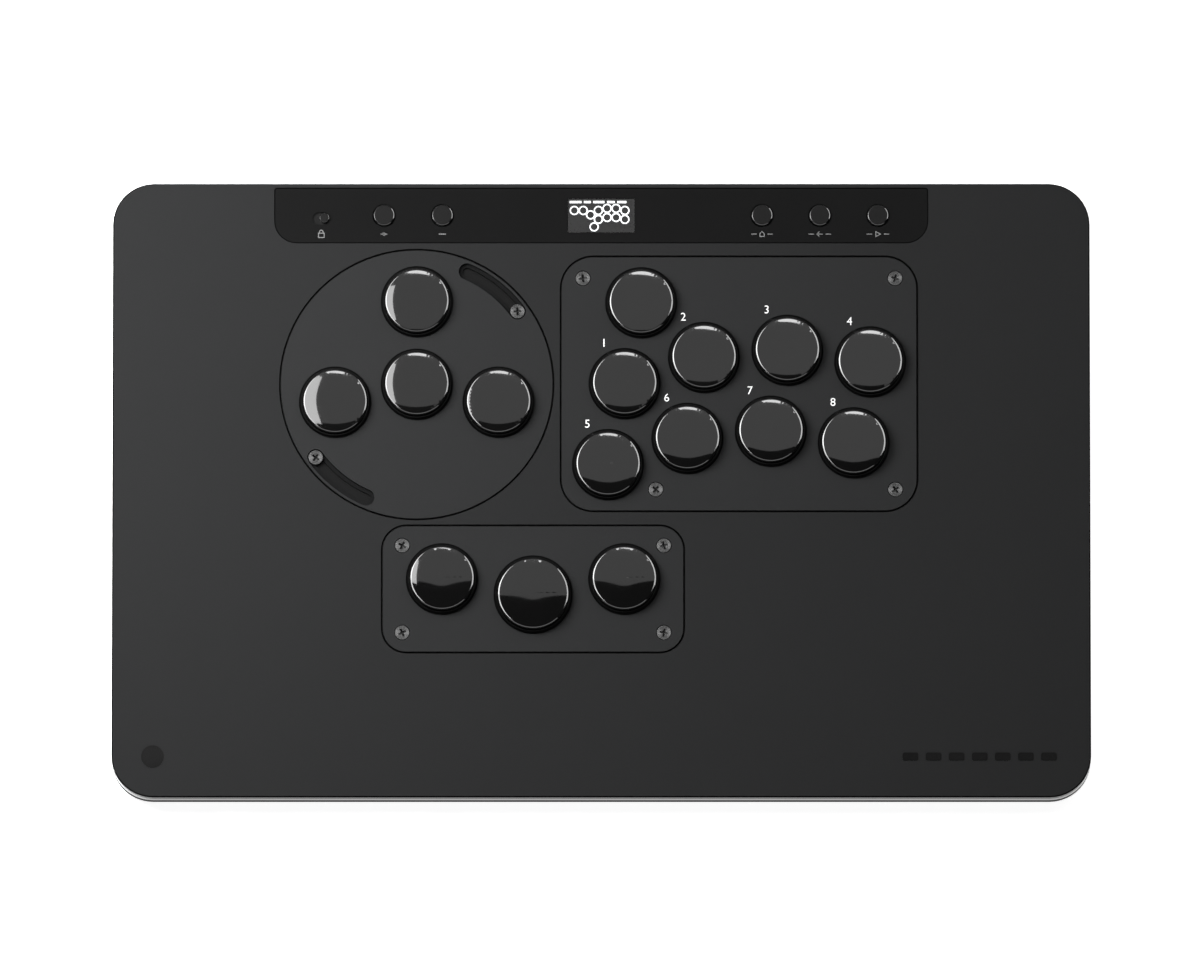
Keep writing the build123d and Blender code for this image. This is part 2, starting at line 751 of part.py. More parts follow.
with BuildPart() as disc_board:
    with BuildSketch(Plane.XY.offset(board_z)):
        with Locations(disc_at):
            Circle(disc_board_r)
        with Locations(*disc_buttons.values()):
            Circle(switch_peg_r + peg_gap, mode=Mode.SUBTRACT)
        with Locations(*disc_standoff_points):
            Circle(small_screw_r + peg_gap, mode=Mode.SUBTRACT)
    extrude(amount=board_t)
save(disc_board, "disc_board")

with BuildPart() as disc_board_screws:
    with Locations(*turned(disc_standoff_points, board_z, 180)):
        add(board_screw)
save(disc_board_screws, "disc_board_screws")

# ------------------------------------------------------------------ action and thumb plates
action_standoff_points = [
    beside(index_front, index_middle, standoff_side),
    beside(index_middle, action_buttons["button_action_extra"], standoff_side),
    beside(middle_back, ring_back, standoff_side),
    beside(ring_back, little_back, standoff_side),
    beside(action_buttons["button_action_6"], action_buttons["button_action_7"], -standoff_side),
    beside(action_buttons["button_action_7"], action_buttons["button_action_8"], -standoff_side),
]
thumb_standoff_points = [
    beside(start, end, side)
    for start, end in ((thumb_buttons["button_thumb_left"], thumb_middle),
                       (thumb_middle, thumb_buttons["button_thumb_right"]))
    for side in (standoff_side, -standoff_side)]

with BuildPart() as action_plate:
    with BuildSketch(Plane.XY.offset(plate_z)):
        with Locations(action_at):
            RectangleRounded(action_w, action_d, action_corner_r)
        with Locations(*action_buttons.values()):
            Circle(plate_hole_r, mode=Mode.SUBTRACT)
    extrude(amount=plate_t)
    chamfer_top_rim(action_plate, plate_chamfer)
    with Locations(*[(x, y, top_z) for x, y in action_screws]):
        CounterBoreHole(screw_r + shank_gap, head_r + head_gap, head_h + head_sink)
save(action_plate, "action_plate")

with BuildPart() as thumb_plate:
    with BuildSketch(Plane.XY.offset(plate_z)):
        with Locations(thumb_at):
            RectangleRounded(thumb_w, thumb_d, thumb_corner_r)
        for name, point in thumb_buttons.items():
            extra = big_extra_r if name == "button_thumb_middle" else 0
            with Locations(point):
                Circle(plate_hole_r + extra, mode=Mode.SUBTRACT)
    extrude(amount=plate_t)
    chamfer_top_rim(thumb_plate, plate_chamfer)
    with Locations(*[(x, y, top_z) for x, y in thumb_screws]):
        CounterBoreHole(screw_r + shank_gap, head_r + head_gap, head_h + head_sink)
save(thumb_plate, "thumb_plate")

with BuildPart() as action_bezels:
    with Locations(*action_buttons.values()):
        add(small_bezel)
save(action_bezels, "action_bezels")

with BuildPart() as thumb_bezels:
    with Locations(thumb_buttons["button_thumb_left"], thumb_buttons["button_thumb_right"]):
        add(small_bezel)
    with Locations(thumb_middle):
        add(big_bezel)
save(thumb_bezels, "thumb_bezels")

for group, points in (("action", action_buttons), ("thumb", thumb_buttons)):
    with BuildPart() as switches:
        with Locations(*points.values()):
            add(one_switch)
    save(switches, f"{group}_switches")
    with BuildPart() as springs:
        with Locations(*points.values()):
            add(one_spring)
    save(springs, f"{group}_springs")

board_places = (("action", action_at, action_w, action_d, action_buttons, action_standoff_points),
                ("thumb", thumb_at, thumb_w, thumb_d, thumb_buttons, thumb_standoff_points))
for group, middle, width, depth, buttons, standoffs in board_places:
    with BuildPart() as board:
        with BuildSketch(Plane.XY.offset(board_z)):
            with Locations(middle):
                Rectangle(width - 2 * board_margin, depth - 2 * board_margin)
            with Locations(*buttons.values()):
                Circle(switch_peg_r + peg_gap, mode=Mode.SUBTRACT)
            with Locations(*standoffs):
                Circle(small_screw_r + peg_gap, mode=Mode.SUBTRACT)
        extrude(amount=board_t)
    save(board, f"{group}_board")

with BuildPart() as plate_standoffs:
    with Locations(*action_standoff_points, *thumb_standoff_points):
        add(one_standoff)
save(plate_standoffs, "plate_standoffs")

# ------------------------------------------------------------------ every moving button
for name, (x, y) in {**disc_buttons, **action_buttons, **thumb_buttons}.items():
    extra = big_extra_r if name == "button_thumb_middle" else 0
    with BuildPart() as plunger:
        with Locations((x, y)):
            add(plunger_shape(cap_r + extra))
    save(plunger, name)

# ------------------------------------------------------------------ control strip
with BuildPart() as strip_cover:
    with BuildSketch(Plane.XY.offset(strip_z)) as outline:
        with Locations((0, strip_y)):
            Rectangle(strip_w, strip_d)
        fillet(outline.vertices().group_by(Axis.Y)[0], radius=strip_front_r - strip_gap)
        fillet(outline.vertices().group_by(Axis.Y)[-1], radius=strip_back_r - strip_gap)
        with Locations(*function_points):
            Circle(function_r + function_hole_gap, mode=Mode.SUBTRACT)
        with Locations((lock_x, lock_y)):
            SlotOverall(lock_slot_l, lock_slot_w, mode=Mode.SUBTRACT)
        with Locations((0, strip_y)):
            Rectangle(window_w + 2 * window_gap, window_d + 2 * window_gap, mode=Mode.SUBTRACT)
    extrude(amount=strip_t)
save(strip_cover, "strip_cover")

with BuildPart() as display_window:
    with BuildSketch(Plane.XY.offset(strip_z)):
        with Locations((0, strip_y)):
            Rectangle(window_w, window_d)
    extrude(amount=strip_t)
save(display_window, "display_window")

with BuildPart() as display_module:
    # the glass stands in the panel's cut-out, just under the window, and its board hangs below
    with BuildSketch(Plane.XY.offset(plate_z)):
        with Locations((0, strip_y)):
            Rectangle(window_w + display_gap, window_d + display_gap)
    extrude(amount=strip_z - window_gap / 2 - plate_z)
    with BuildSketch(Plane.XY.offset(plate_z)):
        with Locations((0, strip_y)):
            Rectangle(window_w + 2 * display_board_edge, strip_d - 2 * ledge - 2 * window_gap)
    extrude(amount=-display_board_t)
    header_y = strip_front + ledge + header_d
    with BuildSketch(Plane.XY.offset(switch_z)):
        with Locations((0, header_y)):
            Rectangle(header_w, header_d)
    extrude(amount=plate_z - display_board_t - switch_z)
save(display_module, "display_module")

for name, (x, y) in zip(function_names, function_points):
    collar_z = plate_z - slider_gap
    stem_z = switch_z + tact_h - function_stem_dip
    cap_z = top_z + function_rise
    with BuildPart() as function_button:
        with BuildSketch(Plane.XY.offset(collar_z)):
            with Locations((x, y)):
                Circle(function_r)
        extrude(amount=cap_z - collar_z)
        fillet(function_button.edges().group_by(Axis.Z)[-1], radius=function_fillet)
        with BuildSketch(Plane.XY.offset(collar_z)):
            with Locations((x, y)):
                Circle(function_collar_r)
        extrude(amount=-function_collar_t)
        with BuildSketch(Plane.XY.offset(stem_z)):
            with Locations((x, y)):
                Circle(function_stem_r)
        extrude(amount=collar_z - stem_z)
    save(function_button, f"button_{name}")

with BuildPart() as tact_switches:
    with BuildSketch(Plane.XY.offset(switch_z)):
        with Locations(*function_points):
            Rectangle(tact_w, tact_w)
    extrude(amount=tact_h)
    with BuildSketch(Plane.XY.offset(switch_z + tact_floor)):
        with Locations(*function_points):
            Circle(function_stem_r + tact_bore_gap)
    extrude(amount=tact_h, mode=Mode.SUBTRACT)
save(tact_switches, "tact_switches")

knob_x = lock_x + knob_travel / 2
with BuildPart() as lock_knob:
    slider_z = strip_z - slider_gap - slider_t
    lever_z = switch_z + lock_body[2] - lever_dip
    with BuildSketch(Plane.XY.offset(slider_z)):
        with Locations((knob_x, lock_y)):
            Rectangle(slider_l, slider_w)
    extrude(amount=slider_t)
    with BuildSketch(Plane.XY.offset(slider_z)):
        with Locations((knob_x, lock_y)):
            Circle(knob_r)
    extrude(amount=top_z + knob_rise - slider_z)
    fillet(lock_knob.edges().group_by(Axis.Z)[-1], radius=knob_fillet)
    with BuildSketch(Plane.XY.offset(lever_z)):
        with Locations((knob_x, lock_y)):
            Rectangle(lever_l, lever_w)
    extrude(amount=slider_z - lever_z)
save(lock_knob, "lock_knob")

with BuildPart() as lock_switch:
    with BuildSketch(Plane.XY.offset(switch_z)):
        with Locations((lock_x, lock_y)):
            Rectangle(lock_body[0], lock_body[1])
    extrude(amount=lock_body[2])
    with BuildSketch(Plane.XY.offset(lever_z - knob_play)):
        with Locations((lock_x, lock_y)):
            Rectangle(lever_l + knob_travel + 2 * knob_play, lever_w + 2 * knob_play)
    extrude(amount=lock_body[2], mode=Mode.SUBTRACT)
save(lock_switch, "lock_switch")

# ------------------------------------------------------------------ main board and its pieces
# where the flat cables of the three button boards end
ribbon_ends = (disc_at, thumb_at, (action_ribbon_x, action_at[1]))

with BuildPart() as main_board:
    with BuildSketch(Plane.XY.offset(board_z)):
        with Locations((0, main_board_y)):
            Rectangle(main_board_w, main_board_d)
        with Locations(*main_screws):
            Circle(small_screw_r + peg_gap, mode=Mode.SUBTRACT)
    extrude(amount=board_t)
save(main_board, "main_board")

with BuildPart() as board_components:
    with BuildSketch(Plane.XY.offset(switch_z)):
        with Locations((chip_x, main_board_y)):
            Rectangle(chip_w, chip_w)
        with Locations((memory_x, main_board_y + memory_y)):
            Rectangle(memory_w, memory_d)
    extrude(amount=chip_t)
    with BuildSketch(Plane.XY.offset(switch_z)):
        with Locations(*[(x, plug_y) for x, y in ribbon_ends]):
            Rectangle(plug_w, plug_d)
    extrude(amount=plug_h)
save(board_components, "board_components")

with BuildPart() as usb_socket:
    mouth_plane = Plane((0, usb_mouth, usb_z), x_dir=(1, 0, 0), z_dir=(0, -1, 0))
    with BuildSketch(mouth_plane):
        RectangleRounded(usb_w, usb_h, usb_corner_r)
    extrude(amount=usb_l)
    with BuildSketch(mouth_plane):
        RectangleRounded(usb_w - 2 * usb_wall, usb_h - 2 * usb_wall, usb_corner_r - usb_wall)
    extrude(amount=usb_l - 2 * usb_wall, mode=Mode.SUBTRACT)
    with BuildSketch(mouth_plane.offset(usb_sink)):
        Rectangle(usb_tongue_w, usb_tongue_t)
    extrude(amount=usb_l - usb_sink)
save(usb_socket, "usb_socket")

with BuildPart() as board_screws_group:
    with Locations(*turned(action_standoff_points + thumb_standoff_points, board_z, 180)):
        add(board_screw)
    main_screw = screw_shape(small_screw_r, board_t + board_gap, small_head_r, small_head_h,
                             small_recess_l, small_recess_w, small_recess_depth)
    with Locations(*turned(main_screws, switch_z)):
        add(main_screw)
save(board_screws_group, "board_screws")

# flat cables that run over the tray's floor from the main board to the three button boards
with BuildPart() as ribbon_cables:
    for x, y in ribbon_ends:
        length = main_board_y - y
        with BuildSketch(Plane.XY.offset(floor_z)):
            with Locations((x, y + length / 2)):
                Rectangle(ribbon_w, length)
        extrude(amount=ribbon_t)
save(ribbon_cables, "ribbon_cables")

# ------------------------------------------------------------------ inlaid marks
with BuildPart() as round_badge:
    with BuildSketch(Plane.XY.offset(top_z - badge_t)):
        with Locations(badge_at):
            Circle(badge_r - peg_gap)
    extrude(amount=badge_t)
save(round_badge, "round_badge")

with BuildPart() as stripe_badges:
    with BuildSketch(Plane.XY.offset(top_z - badge_t)):
        with Locations(*stripe_points):
            RectangleRounded(stripe_w - 2 * peg_gap, stripe_d - 2 * peg_gap, stripe_corner_r)
    extrude(amount=badge_t)
save(stripe_badges, "stripe_badges")
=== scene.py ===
# %% [markdown]
# # A slim arcade control panel
#
# The object is a flat metal case that is played with buttons alone: a turntable of four
# direction buttons, a plate of nine action buttons, a plate of three thumb buttons, and a strip
# along the back with five small buttons, a lock slider and a display.  The shapes with real
# sizes come from the CAD model.  This notebook gives them their finishes, adds turned screws,
# printed marks and the picture on the display, and sets up a small studio.

# %% Load the model that everything is built around
import json
from math import pi, radians, sin, cos

import bpy
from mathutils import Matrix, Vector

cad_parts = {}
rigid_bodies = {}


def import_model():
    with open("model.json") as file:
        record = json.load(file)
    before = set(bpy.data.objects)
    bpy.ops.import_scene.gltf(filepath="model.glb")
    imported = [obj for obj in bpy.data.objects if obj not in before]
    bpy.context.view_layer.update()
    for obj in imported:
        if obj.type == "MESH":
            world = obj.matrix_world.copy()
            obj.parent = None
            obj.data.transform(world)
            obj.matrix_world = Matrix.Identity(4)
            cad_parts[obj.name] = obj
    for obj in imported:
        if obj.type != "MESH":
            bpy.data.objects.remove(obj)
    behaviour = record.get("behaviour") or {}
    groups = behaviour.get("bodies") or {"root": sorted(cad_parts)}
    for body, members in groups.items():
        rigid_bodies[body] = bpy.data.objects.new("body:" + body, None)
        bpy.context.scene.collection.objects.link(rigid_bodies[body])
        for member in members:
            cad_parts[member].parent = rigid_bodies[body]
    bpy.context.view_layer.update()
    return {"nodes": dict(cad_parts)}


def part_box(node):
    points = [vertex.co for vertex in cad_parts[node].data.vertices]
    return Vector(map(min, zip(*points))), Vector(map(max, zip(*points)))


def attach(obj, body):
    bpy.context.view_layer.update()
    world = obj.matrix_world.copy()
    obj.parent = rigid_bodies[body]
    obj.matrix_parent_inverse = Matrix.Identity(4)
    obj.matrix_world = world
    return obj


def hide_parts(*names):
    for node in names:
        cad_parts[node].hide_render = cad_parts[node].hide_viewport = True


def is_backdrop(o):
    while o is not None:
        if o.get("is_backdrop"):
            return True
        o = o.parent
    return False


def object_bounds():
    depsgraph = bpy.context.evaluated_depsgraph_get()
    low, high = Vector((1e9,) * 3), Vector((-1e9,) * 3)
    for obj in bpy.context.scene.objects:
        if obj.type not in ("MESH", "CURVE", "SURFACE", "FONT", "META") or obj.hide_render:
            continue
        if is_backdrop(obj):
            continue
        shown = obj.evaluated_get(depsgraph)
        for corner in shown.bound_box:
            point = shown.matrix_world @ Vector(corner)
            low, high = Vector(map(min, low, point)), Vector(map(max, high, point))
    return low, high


for leftover in list(bpy.data.objects):
    bpy.data.objects.remove(leftover)
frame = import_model()

import numpy as np
from mathutils import Vector

MM = 0.001

# %% [markdown]
# ## The camera
#
# The case is seen almost straight from above, from the player's side.  A very long lens far
# away keeps the edges parallel, as a catalogue picture does; a short lens would show the
# front wall and the button sides much more.

# %% Stand the camera far away and almost overhead
VIEW_ELEVATION = 80.7
VIEW_WIDTH = 447.8 * MM
AIM = Vector((-0.47, 3.74, 14.5)) * MM
LENS = 800.0
SENSOR = 36.0

camera_data = bpy.data.cameras.new("camera")
camera_data.lens = LENS
camera_data.sensor_width = SENSOR
camera_data.clip_start = 0.1
camera_data.clip_end = 40.0
camera = bpy.data.objects.new("camera", camera_data)
bpy.context.scene.collection.objects.link(camera)
camera_distance = VIEW_WIDTH * LENS / SENSOR
lean = radians(90 - VIEW_ELEVATION)
camera.location = AIM + camera_distance * Vector((0, -sin(lean), cos(lean)))
camera.rotation_euler = (lean, 0, 0)
bpy.context.scene.camera = camera
print("camera distance in m:", round(camera_distance, 2))

# %% [markdown]
# ## Lamps
#
# Polished black buttons show the lamps themselves, so the lamps are placed for their
# reflections.  A dim ceiling card behind the case gives the caps their even grey, and its
# front edge draws the dark lower part of the thumb buttons.  Five brighter boxes, two to the
# left and one each behind, to the right and in front, are seen only in reflections, where
# they draw the crescents on the rims.  An even sky would make every cap flat.  A last lamp is
# left out of the reflections: it only makes the matt metal brighter towards the back left
# corner.

# %% A helper for rectangular lamps
def lamp(name, place, width, depth, radiance, aim=None):
    """A rectangular lamp; radiance is how bright its face looks, whatever its size."""
    data = bpy.data.lights.new(name, "AREA")
    data.shape = "RECTANGLE"
    data.size, data.size_y = width, depth
    data.energy = radiance * pi * width * depth
    lamp_object = bpy.data.objects.new(name, data)
    bpy.context.scene.collection.objects.link(lamp_object)
    lamp_object.location = place
    if aim is not None:
        direction = Vector(aim) - Vector(place)
        lamp_object.rotation_euler = direction.to_track_quat("-Z", "Y").to_euler()
    print(name, "gives", round(data.energy, 2), "W")
    return lamp_object


# %% Hang the card and the boxes
CARD_HEIGHT, CARD_FRONT, CARD_DEPTH = 0.74, 0.068, 1.3
lamp("ceiling_card", (0, CARD_FRONT + CARD_DEPTH / 2, CARD_HEIGHT), 1.6, CARD_DEPTH, 1.08)
LEFT_TOP, LEFT_FOOT, LEFT_Y, LEFT_DEPTH = (-0.160, 0.73), (-0.62, 0.40), 0.155, 0.20
left_run = np.subtract(LEFT_FOOT, LEFT_TOP)
left_middle = np.add(LEFT_TOP, LEFT_FOOT) / 2
lamp("left_box", (left_middle[0], LEFT_Y, left_middle[1]), LEFT_DEPTH,
     float(np.linalg.norm(left_run)), 11,
     aim=(left_middle[0] - left_run[1], LEFT_Y, left_middle[1] + left_run[0]))
back = lamp("back_box", (1.2, 7.28, 20.0), 6.4, 2.0, 16)
back.rotation_euler = (0, 0, radians(-6))
lamp("left_rim_box", (-2.3, 0.5, 3.0), 2.8, 2.6, 20)
lamp("right_box", (2.0, 1.2, 2.65), 2.8, 4.1, 12, aim=(0, 1.2, 2.65))
lamp("front_box", (0, -0.90, 1.20), 2.2, 1.4, 2.6, aim=(0, 0, 1.20))
for box in ("left_box", "left_rim_box", "back_box", "right_box", "front_box"):
    bpy.data.objects[box].visible_diffuse = False
GLOW_PLACE = (-0.35, 0.15, 0.40)
glow = lamp("back_left_glow", GLOW_PLACE, 0.3, 0.3, 21, aim=(0, 0, 0))
glow.visible_glossy = False

# %% A faint sky, and a bright one for the background
SKY_ON_OBJECT, SKY_BEHIND = 0.02, 0.9
world = bpy.data.worlds.new("studio")
bpy.context.scene.world = world
world.use_nodes = True
world_nodes, world_links = world.node_tree.nodes, world.node_tree.links
path = world_nodes.new("ShaderNodeLightPath")
brightness = world_nodes.new("ShaderNodeMapRange")
brightness.inputs["To Min"].default_value = SKY_ON_OBJECT
brightness.inputs["To Max"].default_value = SKY_BEHIND
world_links.new(path.outputs["Is Camera Ray"], brightness.inputs["Value"])
world_links.new(brightness.outputs["Result"], world_nodes["Background"].inputs["Strength"])
world_nodes["Background"].inputs["Color"].default_value = (1, 1, 1, 1)
bpy.context.scene.view_settings.view_transform = "Standard"
print("sky on the object:", SKY_ON_OBJECT, "and behind it:", SKY_BEHIND)

# %% [markdown]
# ## Shared surface effects
#
# Every finish on the case is one of a few effects with its own numbers: the fine grain of
# anodised or moulded material, the lines of drawn wire and sheet, the marks that hands leave
# on gloss, the rings of a lathe, and the tracks of a circuit board.  Each effect is a node
# group, so that it is made once.  A group reads a position and gives a colour, a roughness
# and a height; the shader itself stays in each material.

# %% Helpers that make groups and nodes
def add_node(tree, kind, settings=(), values=(), sources=()):
    """A new node, with its settings, its socket values and the links into its sockets."""
    node = tree.nodes.new(kind)
    for key, value in dict(settings).items():
        setattr(node, key, value)
    for key, value in dict(values).items():
        node.inputs[key].default_value = value
    for key, source in dict(sources).items():
        tree.links.new(source, node.inputs[key])
    return node


def effect_group(name, inputs):
    """An empty group with these inputs that gives Colour, Roughness and Height."""
    group = bpy.data.node_groups.new(name, "ShaderNodeTree")
    for label, start in inputs.items():
        kind = ("NodeSocketVector" if start is None else
                "NodeSocketColor" if isinstance(start, tuple) else "NodeSocketFloat")
        socket = group.interface.new_socket(label, in_out="INPUT", socket_type=kind)
        if start is not None:
            socket.default_value = start
    for label, kind in (("Colour", "NodeSocketColor"), ("Roughness", "NodeSocketFloat"),
                        ("Height", "NodeSocketFloat")):
        group.interface.new_socket(label, in_out="OUTPUT", socket_type=kind)
    start_node, end_node = group.nodes.new("NodeGroupInput"), group.nodes.new("NodeGroupOutput")
    return group, start_node.outputs, end_node


def arithmetic(tree, operation, first, second, third=None):
    """A Math node; each term is a number or a socket."""
    node = add_node(tree, "ShaderNodeMath", {"operation": operation})
    for socket, term in zip(node.inputs, (first, second, third)):
        if term is None:
            continue
        if isinstance(term, (int, float)):
            socket.default_value = term
        else:
            tree.links.new(term, socket)
    return node.outputs["Value"]


def around(tree, middle, spread, pattern):
    """middle + spread * (pattern - 0.5), for a pattern between 0 and 1."""
    centred = arithmetic(tree, "SUBTRACT", pattern, 0.5)
    return arithmetic(tree, "MULTIPLY_ADD", centred, spread, middle)


def shaded(tree, colour, factor):
    """A colour times a number."""
    return add_node(tree, "ShaderNodeVectorMath", {"operation": "SCALE"},
                    sources={0: colour, "Scale": factor}).outputs["Vector"]


def noise(tree, position, scale, detail=2.0):
    """A cloudy pattern between 0 and 1 with this many features per metre."""
    node = add_node(tree, "ShaderNodeTexNoise", values={"Detail": detail},
                    sources={"Vector": position})
    if isinstance(scale, (int, float)):
        node.inputs["Scale"].default_value = scale
    else:
        tree.links.new(scale, node.inputs["Scale"])
    return node.outputs["Fac"]


# %% Fine grain, with broad soft patches
PATCH_SCALE = 45
grain, given, result = effect_group("fine_grain", {
    "Position": None, "Colour": (0.5, 0.5, 0.5, 1), "Grain Scale": 5000.0,
    "Grain Spread": 0.2, "Patch Spread": 0.1, "Roughness": 0.5, "Roughness Spread": 0.1})
speck = noise(grain, given["Position"], given["Grain Scale"])
patch = noise(grain, given["Position"], PATCH_SCALE, 3.0)
factor = around(grain, around(grain, 1.0, given["Grain Spread"], speck),
                given["Patch Spread"], patch)
grain.links.new(shaded(grain, given["Colour"], factor), result.inputs["Colour"])
grain.links.new(around(grain, given["Roughness"], given["Roughness Spread"], patch),
                result.inputs["Roughness"])
grain.links.new(speck, result.inputs["Height"])
print("fine_grain has", len(grain.nodes), "nodes")

# %% Lines left by drawing or brushing, along the direction whose stretch is smallest
lines, given, result = effect_group("drawn_lines", {
    "Position": None, "Stretch": None, "Colour": (0.5, 0.5, 0.5, 1), "Line Spread": 0.3,
    "Roughness": 0.3, "Roughness Spread": 0.15})
stretched = add_node(lines, "ShaderNodeVectorMath", {"operation": "MULTIPLY"},
                     sources={0: given["Position"], 1: given["Stretch"]}).outputs["Vector"]
streak = noise(lines, stretched, 1.0, 3.0)
lines.links.new(shaded(lines, given["Colour"], around(lines, 1.0, given["Line Spread"], streak)),
                result.inputs["Colour"])
lines.links.new(around(lines, given["Roughness"], given["Roughness Spread"], streak),
                result.inputs["Roughness"])
lines.links.new(streak, result.inputs["Height"])
print("drawn_lines has", len(lines.nodes), "nodes")

# %% Smudges and hair scratches on gloss
SMUDGE_SCALE, HAIR_SCALE, HAIR_STRETCH = 90, 260, (1.0, 22.0, 1.0)
HAIR_THIN = 0.012
marks, given, result = effect_group("handling_marks", {
    "Position": None, "Colour": (0.01, 0.01, 0.01, 1), "Dust Spread": 0.4,
    "Roughness": 0.05, "Smudge Spread": 0.03, "Hair Depth": 0.05})
smudge = noise(marks, given["Position"], SMUDGE_SCALE, 4.0)
slanted = add_node(marks, "ShaderNodeMapping", {"vector_type": "TEXTURE"},
                   {"Rotation": (0, 0, radians(31))}, {"Vector": given["Position"]})
combed = add_node(marks, "ShaderNodeVectorMath", {"operation": "MULTIPLY"},
                  {1: HAIR_STRETCH}, {0: slanted.outputs["Vector"]}).outputs["Vector"]
ridge = arithmetic(marks, "ABSOLUTE", arithmetic(
    marks, "SUBTRACT", noise(marks, combed, HAIR_SCALE, 1.0), 0.5), 0.0)
hair = arithmetic(marks, "LESS_THAN", ridge, HAIR_THIN)
scratch = arithmetic(marks, "MULTIPLY", hair, given["Hair Depth"])
marks.links.new(shaded(marks, given["Colour"], around(marks, 1.0, given["Dust Spread"], smudge)),
                result.inputs["Colour"])
marks.links.new(arithmetic(marks, "ADD", scratch, around(
    marks, given["Roughness"], given["Smudge Spread"], smudge)), result.inputs["Roughness"])
marks.links.new(smudge, result.inputs["Height"])
print("handling_marks has", len(marks.nodes), "nodes")

# %% Rings left by a lathe, around the middle of a piece's own map
rings, given, result = effect_group("turned_rings", {
    "Map": None, "Colour": (0.1, 0.1, 0.1, 1), "Rings": 20.0, "Ring Spread": 0.3,
    "Roughness": 0.3, "Roughness Spread": 0.1})
from_middle = add_node(rings, "ShaderNodeVectorMath", {"operation": "DISTANCE"},
                       {1: (0.5, 0.5, 0)}, {0: given["Map"]}).outputs["Value"]
wobble = noise(rings, given["Map"], 3.0)
turns = arithmetic(rings, "MULTIPLY", from_middle, given["Rings"])
wave = arithmetic(rings, "SINE", arithmetic(rings, "MULTIPLY_ADD", turns, 2 * pi, wobble), 0.0)
groove = arithmetic(rings, "MULTIPLY_ADD", wave, 0.5, 0.5)
rings.links.new(shaded(rings, given["Colour"], around(rings, 1.0, given["Ring Spread"], groove)),
                result.inputs["Colour"])
rings.links.new(around(rings, given["Roughness"], given["Roughness Spread"], wobble),
                result.inputs["Roughness"])
rings.links.new(groove, result.inputs["Height"])
print("turned_rings has", len(rings.nodes), "nodes")

# %% Copper tracks under the lacquer of a circuit board
tracks, given, result = effect_group("circuit_tracks", {
    "Position": None, "Colour": (0.01, 0.05, 0.02, 1), "Track Colour": (0.03, 0.12, 0.05, 1),
    "Track Scale": 60.0, "Roughness": 0.35, "Roughness Spread": 0.1})
bricks = add_node(tracks, "ShaderNodeTexBrick",
                  {"offset": 0.37, "squash": 1.6, "squash_frequency": 3},
                  {"Mortar Size": 0.035, "Mortar Smooth": 0.1},
                  {"Vector": given["Position"], "Color1": given["Colour"],
                   "Color2": given["Colour"], "Mortar": given["Track Colour"],
                   "Scale": given["Track Scale"]})
lacquer = noise(tracks, given["Position"], 400)
tracks.links.new(shaded(tracks, bricks.outputs["Color"], around(tracks, 1.0, 0.3, lacquer)),
                 result.inputs["Colour"])
tracks.links.new(around(tracks, given["Roughness"], given["Roughness Spread"], lacquer),
                 result.inputs["Roughness"])
tracks.links.new(bricks.outputs["Fac"], result.inputs["Height"])
print("circuit_tracks has", len(tracks.nodes), "nodes")

# %% Walls and bevels in another finish than the flat top, with painted shade
# A face counts as flat by the height of its normal.  Walls and bevels take the edge colour,
# which on the metal is painted shade, and faces under the recess level are painted darker
# as shade.  A Mix node has its sockets for colours after those for numbers and vectors, under
# the same names, so they are counted.
RECESS_SHADE = 0.25
SLOPE_END, FLAT_START = 0.90, 0.97
MIX_FIRST, MIX_SECOND, MIX_RESULT = 6, 7, 2
edges, given, result = effect_group("edges_and_painted_shade", {
    "Normal": None, "Position": None, "Colour": (0.02, 0.02, 0.02, 1),
    "Edge Colour": (0.003, 0.003, 0.003, 1), "Roughness": 0.5, "Edge Roughness": 0.1,
    "Recess Level": 0.0})
upwards = add_node(edges, "ShaderNodeSeparateXYZ", sources={0: given["Normal"]}).outputs["Z"]
flat_top = add_node(edges, "ShaderNodeMapRange", {"interpolation_type": "SMOOTHSTEP"},
                    {"From Min": SLOPE_END, "From Max": FLAT_START},
                    {"Value": upwards}).outputs["Result"]
blend = add_node(edges, "ShaderNodeMix", {"data_type": "RGBA"},
                 sources={"Factor": flat_top})
edges.links.new(given["Edge Colour"], blend.inputs[MIX_FIRST])
edges.links.new(given["Colour"], blend.inputs[MIX_SECOND])
height = add_node(edges, "ShaderNodeSeparateXYZ", sources={0: given["Position"]}).outputs["Z"]
# Faces under the recess level are painted darker by RECESS_SHADE: painted shade.
open_face = arithmetic(edges, "GREATER_THAN", height, given["Recess Level"])
shade = around(edges, (1 + RECESS_SHADE) / 2, 1 - RECESS_SHADE, open_face)
edges.links.new(shaded(edges, blend.outputs[MIX_RESULT], shade), result.inputs["Colour"])
rough = add_node(edges, "ShaderNodeMapRange", sources={
    "Value": flat_top, "To Min": given["Edge Roughness"], "To Max": given["Roughness"]})
edges.links.new(rough.outputs["Result"], result.inputs["Roughness"])
edges.links.new(flat_top, result.inputs["Height"])
print("edges_and_painted_shade has", len(edges.nodes), "nodes")

# %% [markdown]
# ## The finishes
#
# The top sheet and the inlaid plates are satin black anodised aluminium: a very dark, even
# grey with a grain that is only just seen, and diamond-cut edges that are glossy.  Their
# nearly black edge colour, and the darker sunk faces of the plates, are painted shade.  The
# caps, their rings and the badge are polished black plastic, the strip is satin
# plastic, and the frame around the case is a glossy rail.  Inside are sheet steel, brass,
# rubber, moulded switches and green boards.  One function puts an effect into a material, so
# a finish is one line of numbers.

# %% A function that makes a finish from an effect
BUMP_DISTANCE = 0.05 * MM


def standard_material(name, plain):
    """A new material, its node tree, and its Principled shader with plain values set."""
    material = bpy.data.materials.new(name)
    material.use_nodes = True
    shader = material.node_tree.nodes["Principled BSDF"]
    for socket, value in plain.items():
        shader.inputs[socket].default_value = value
    return material, material.node_tree, shader


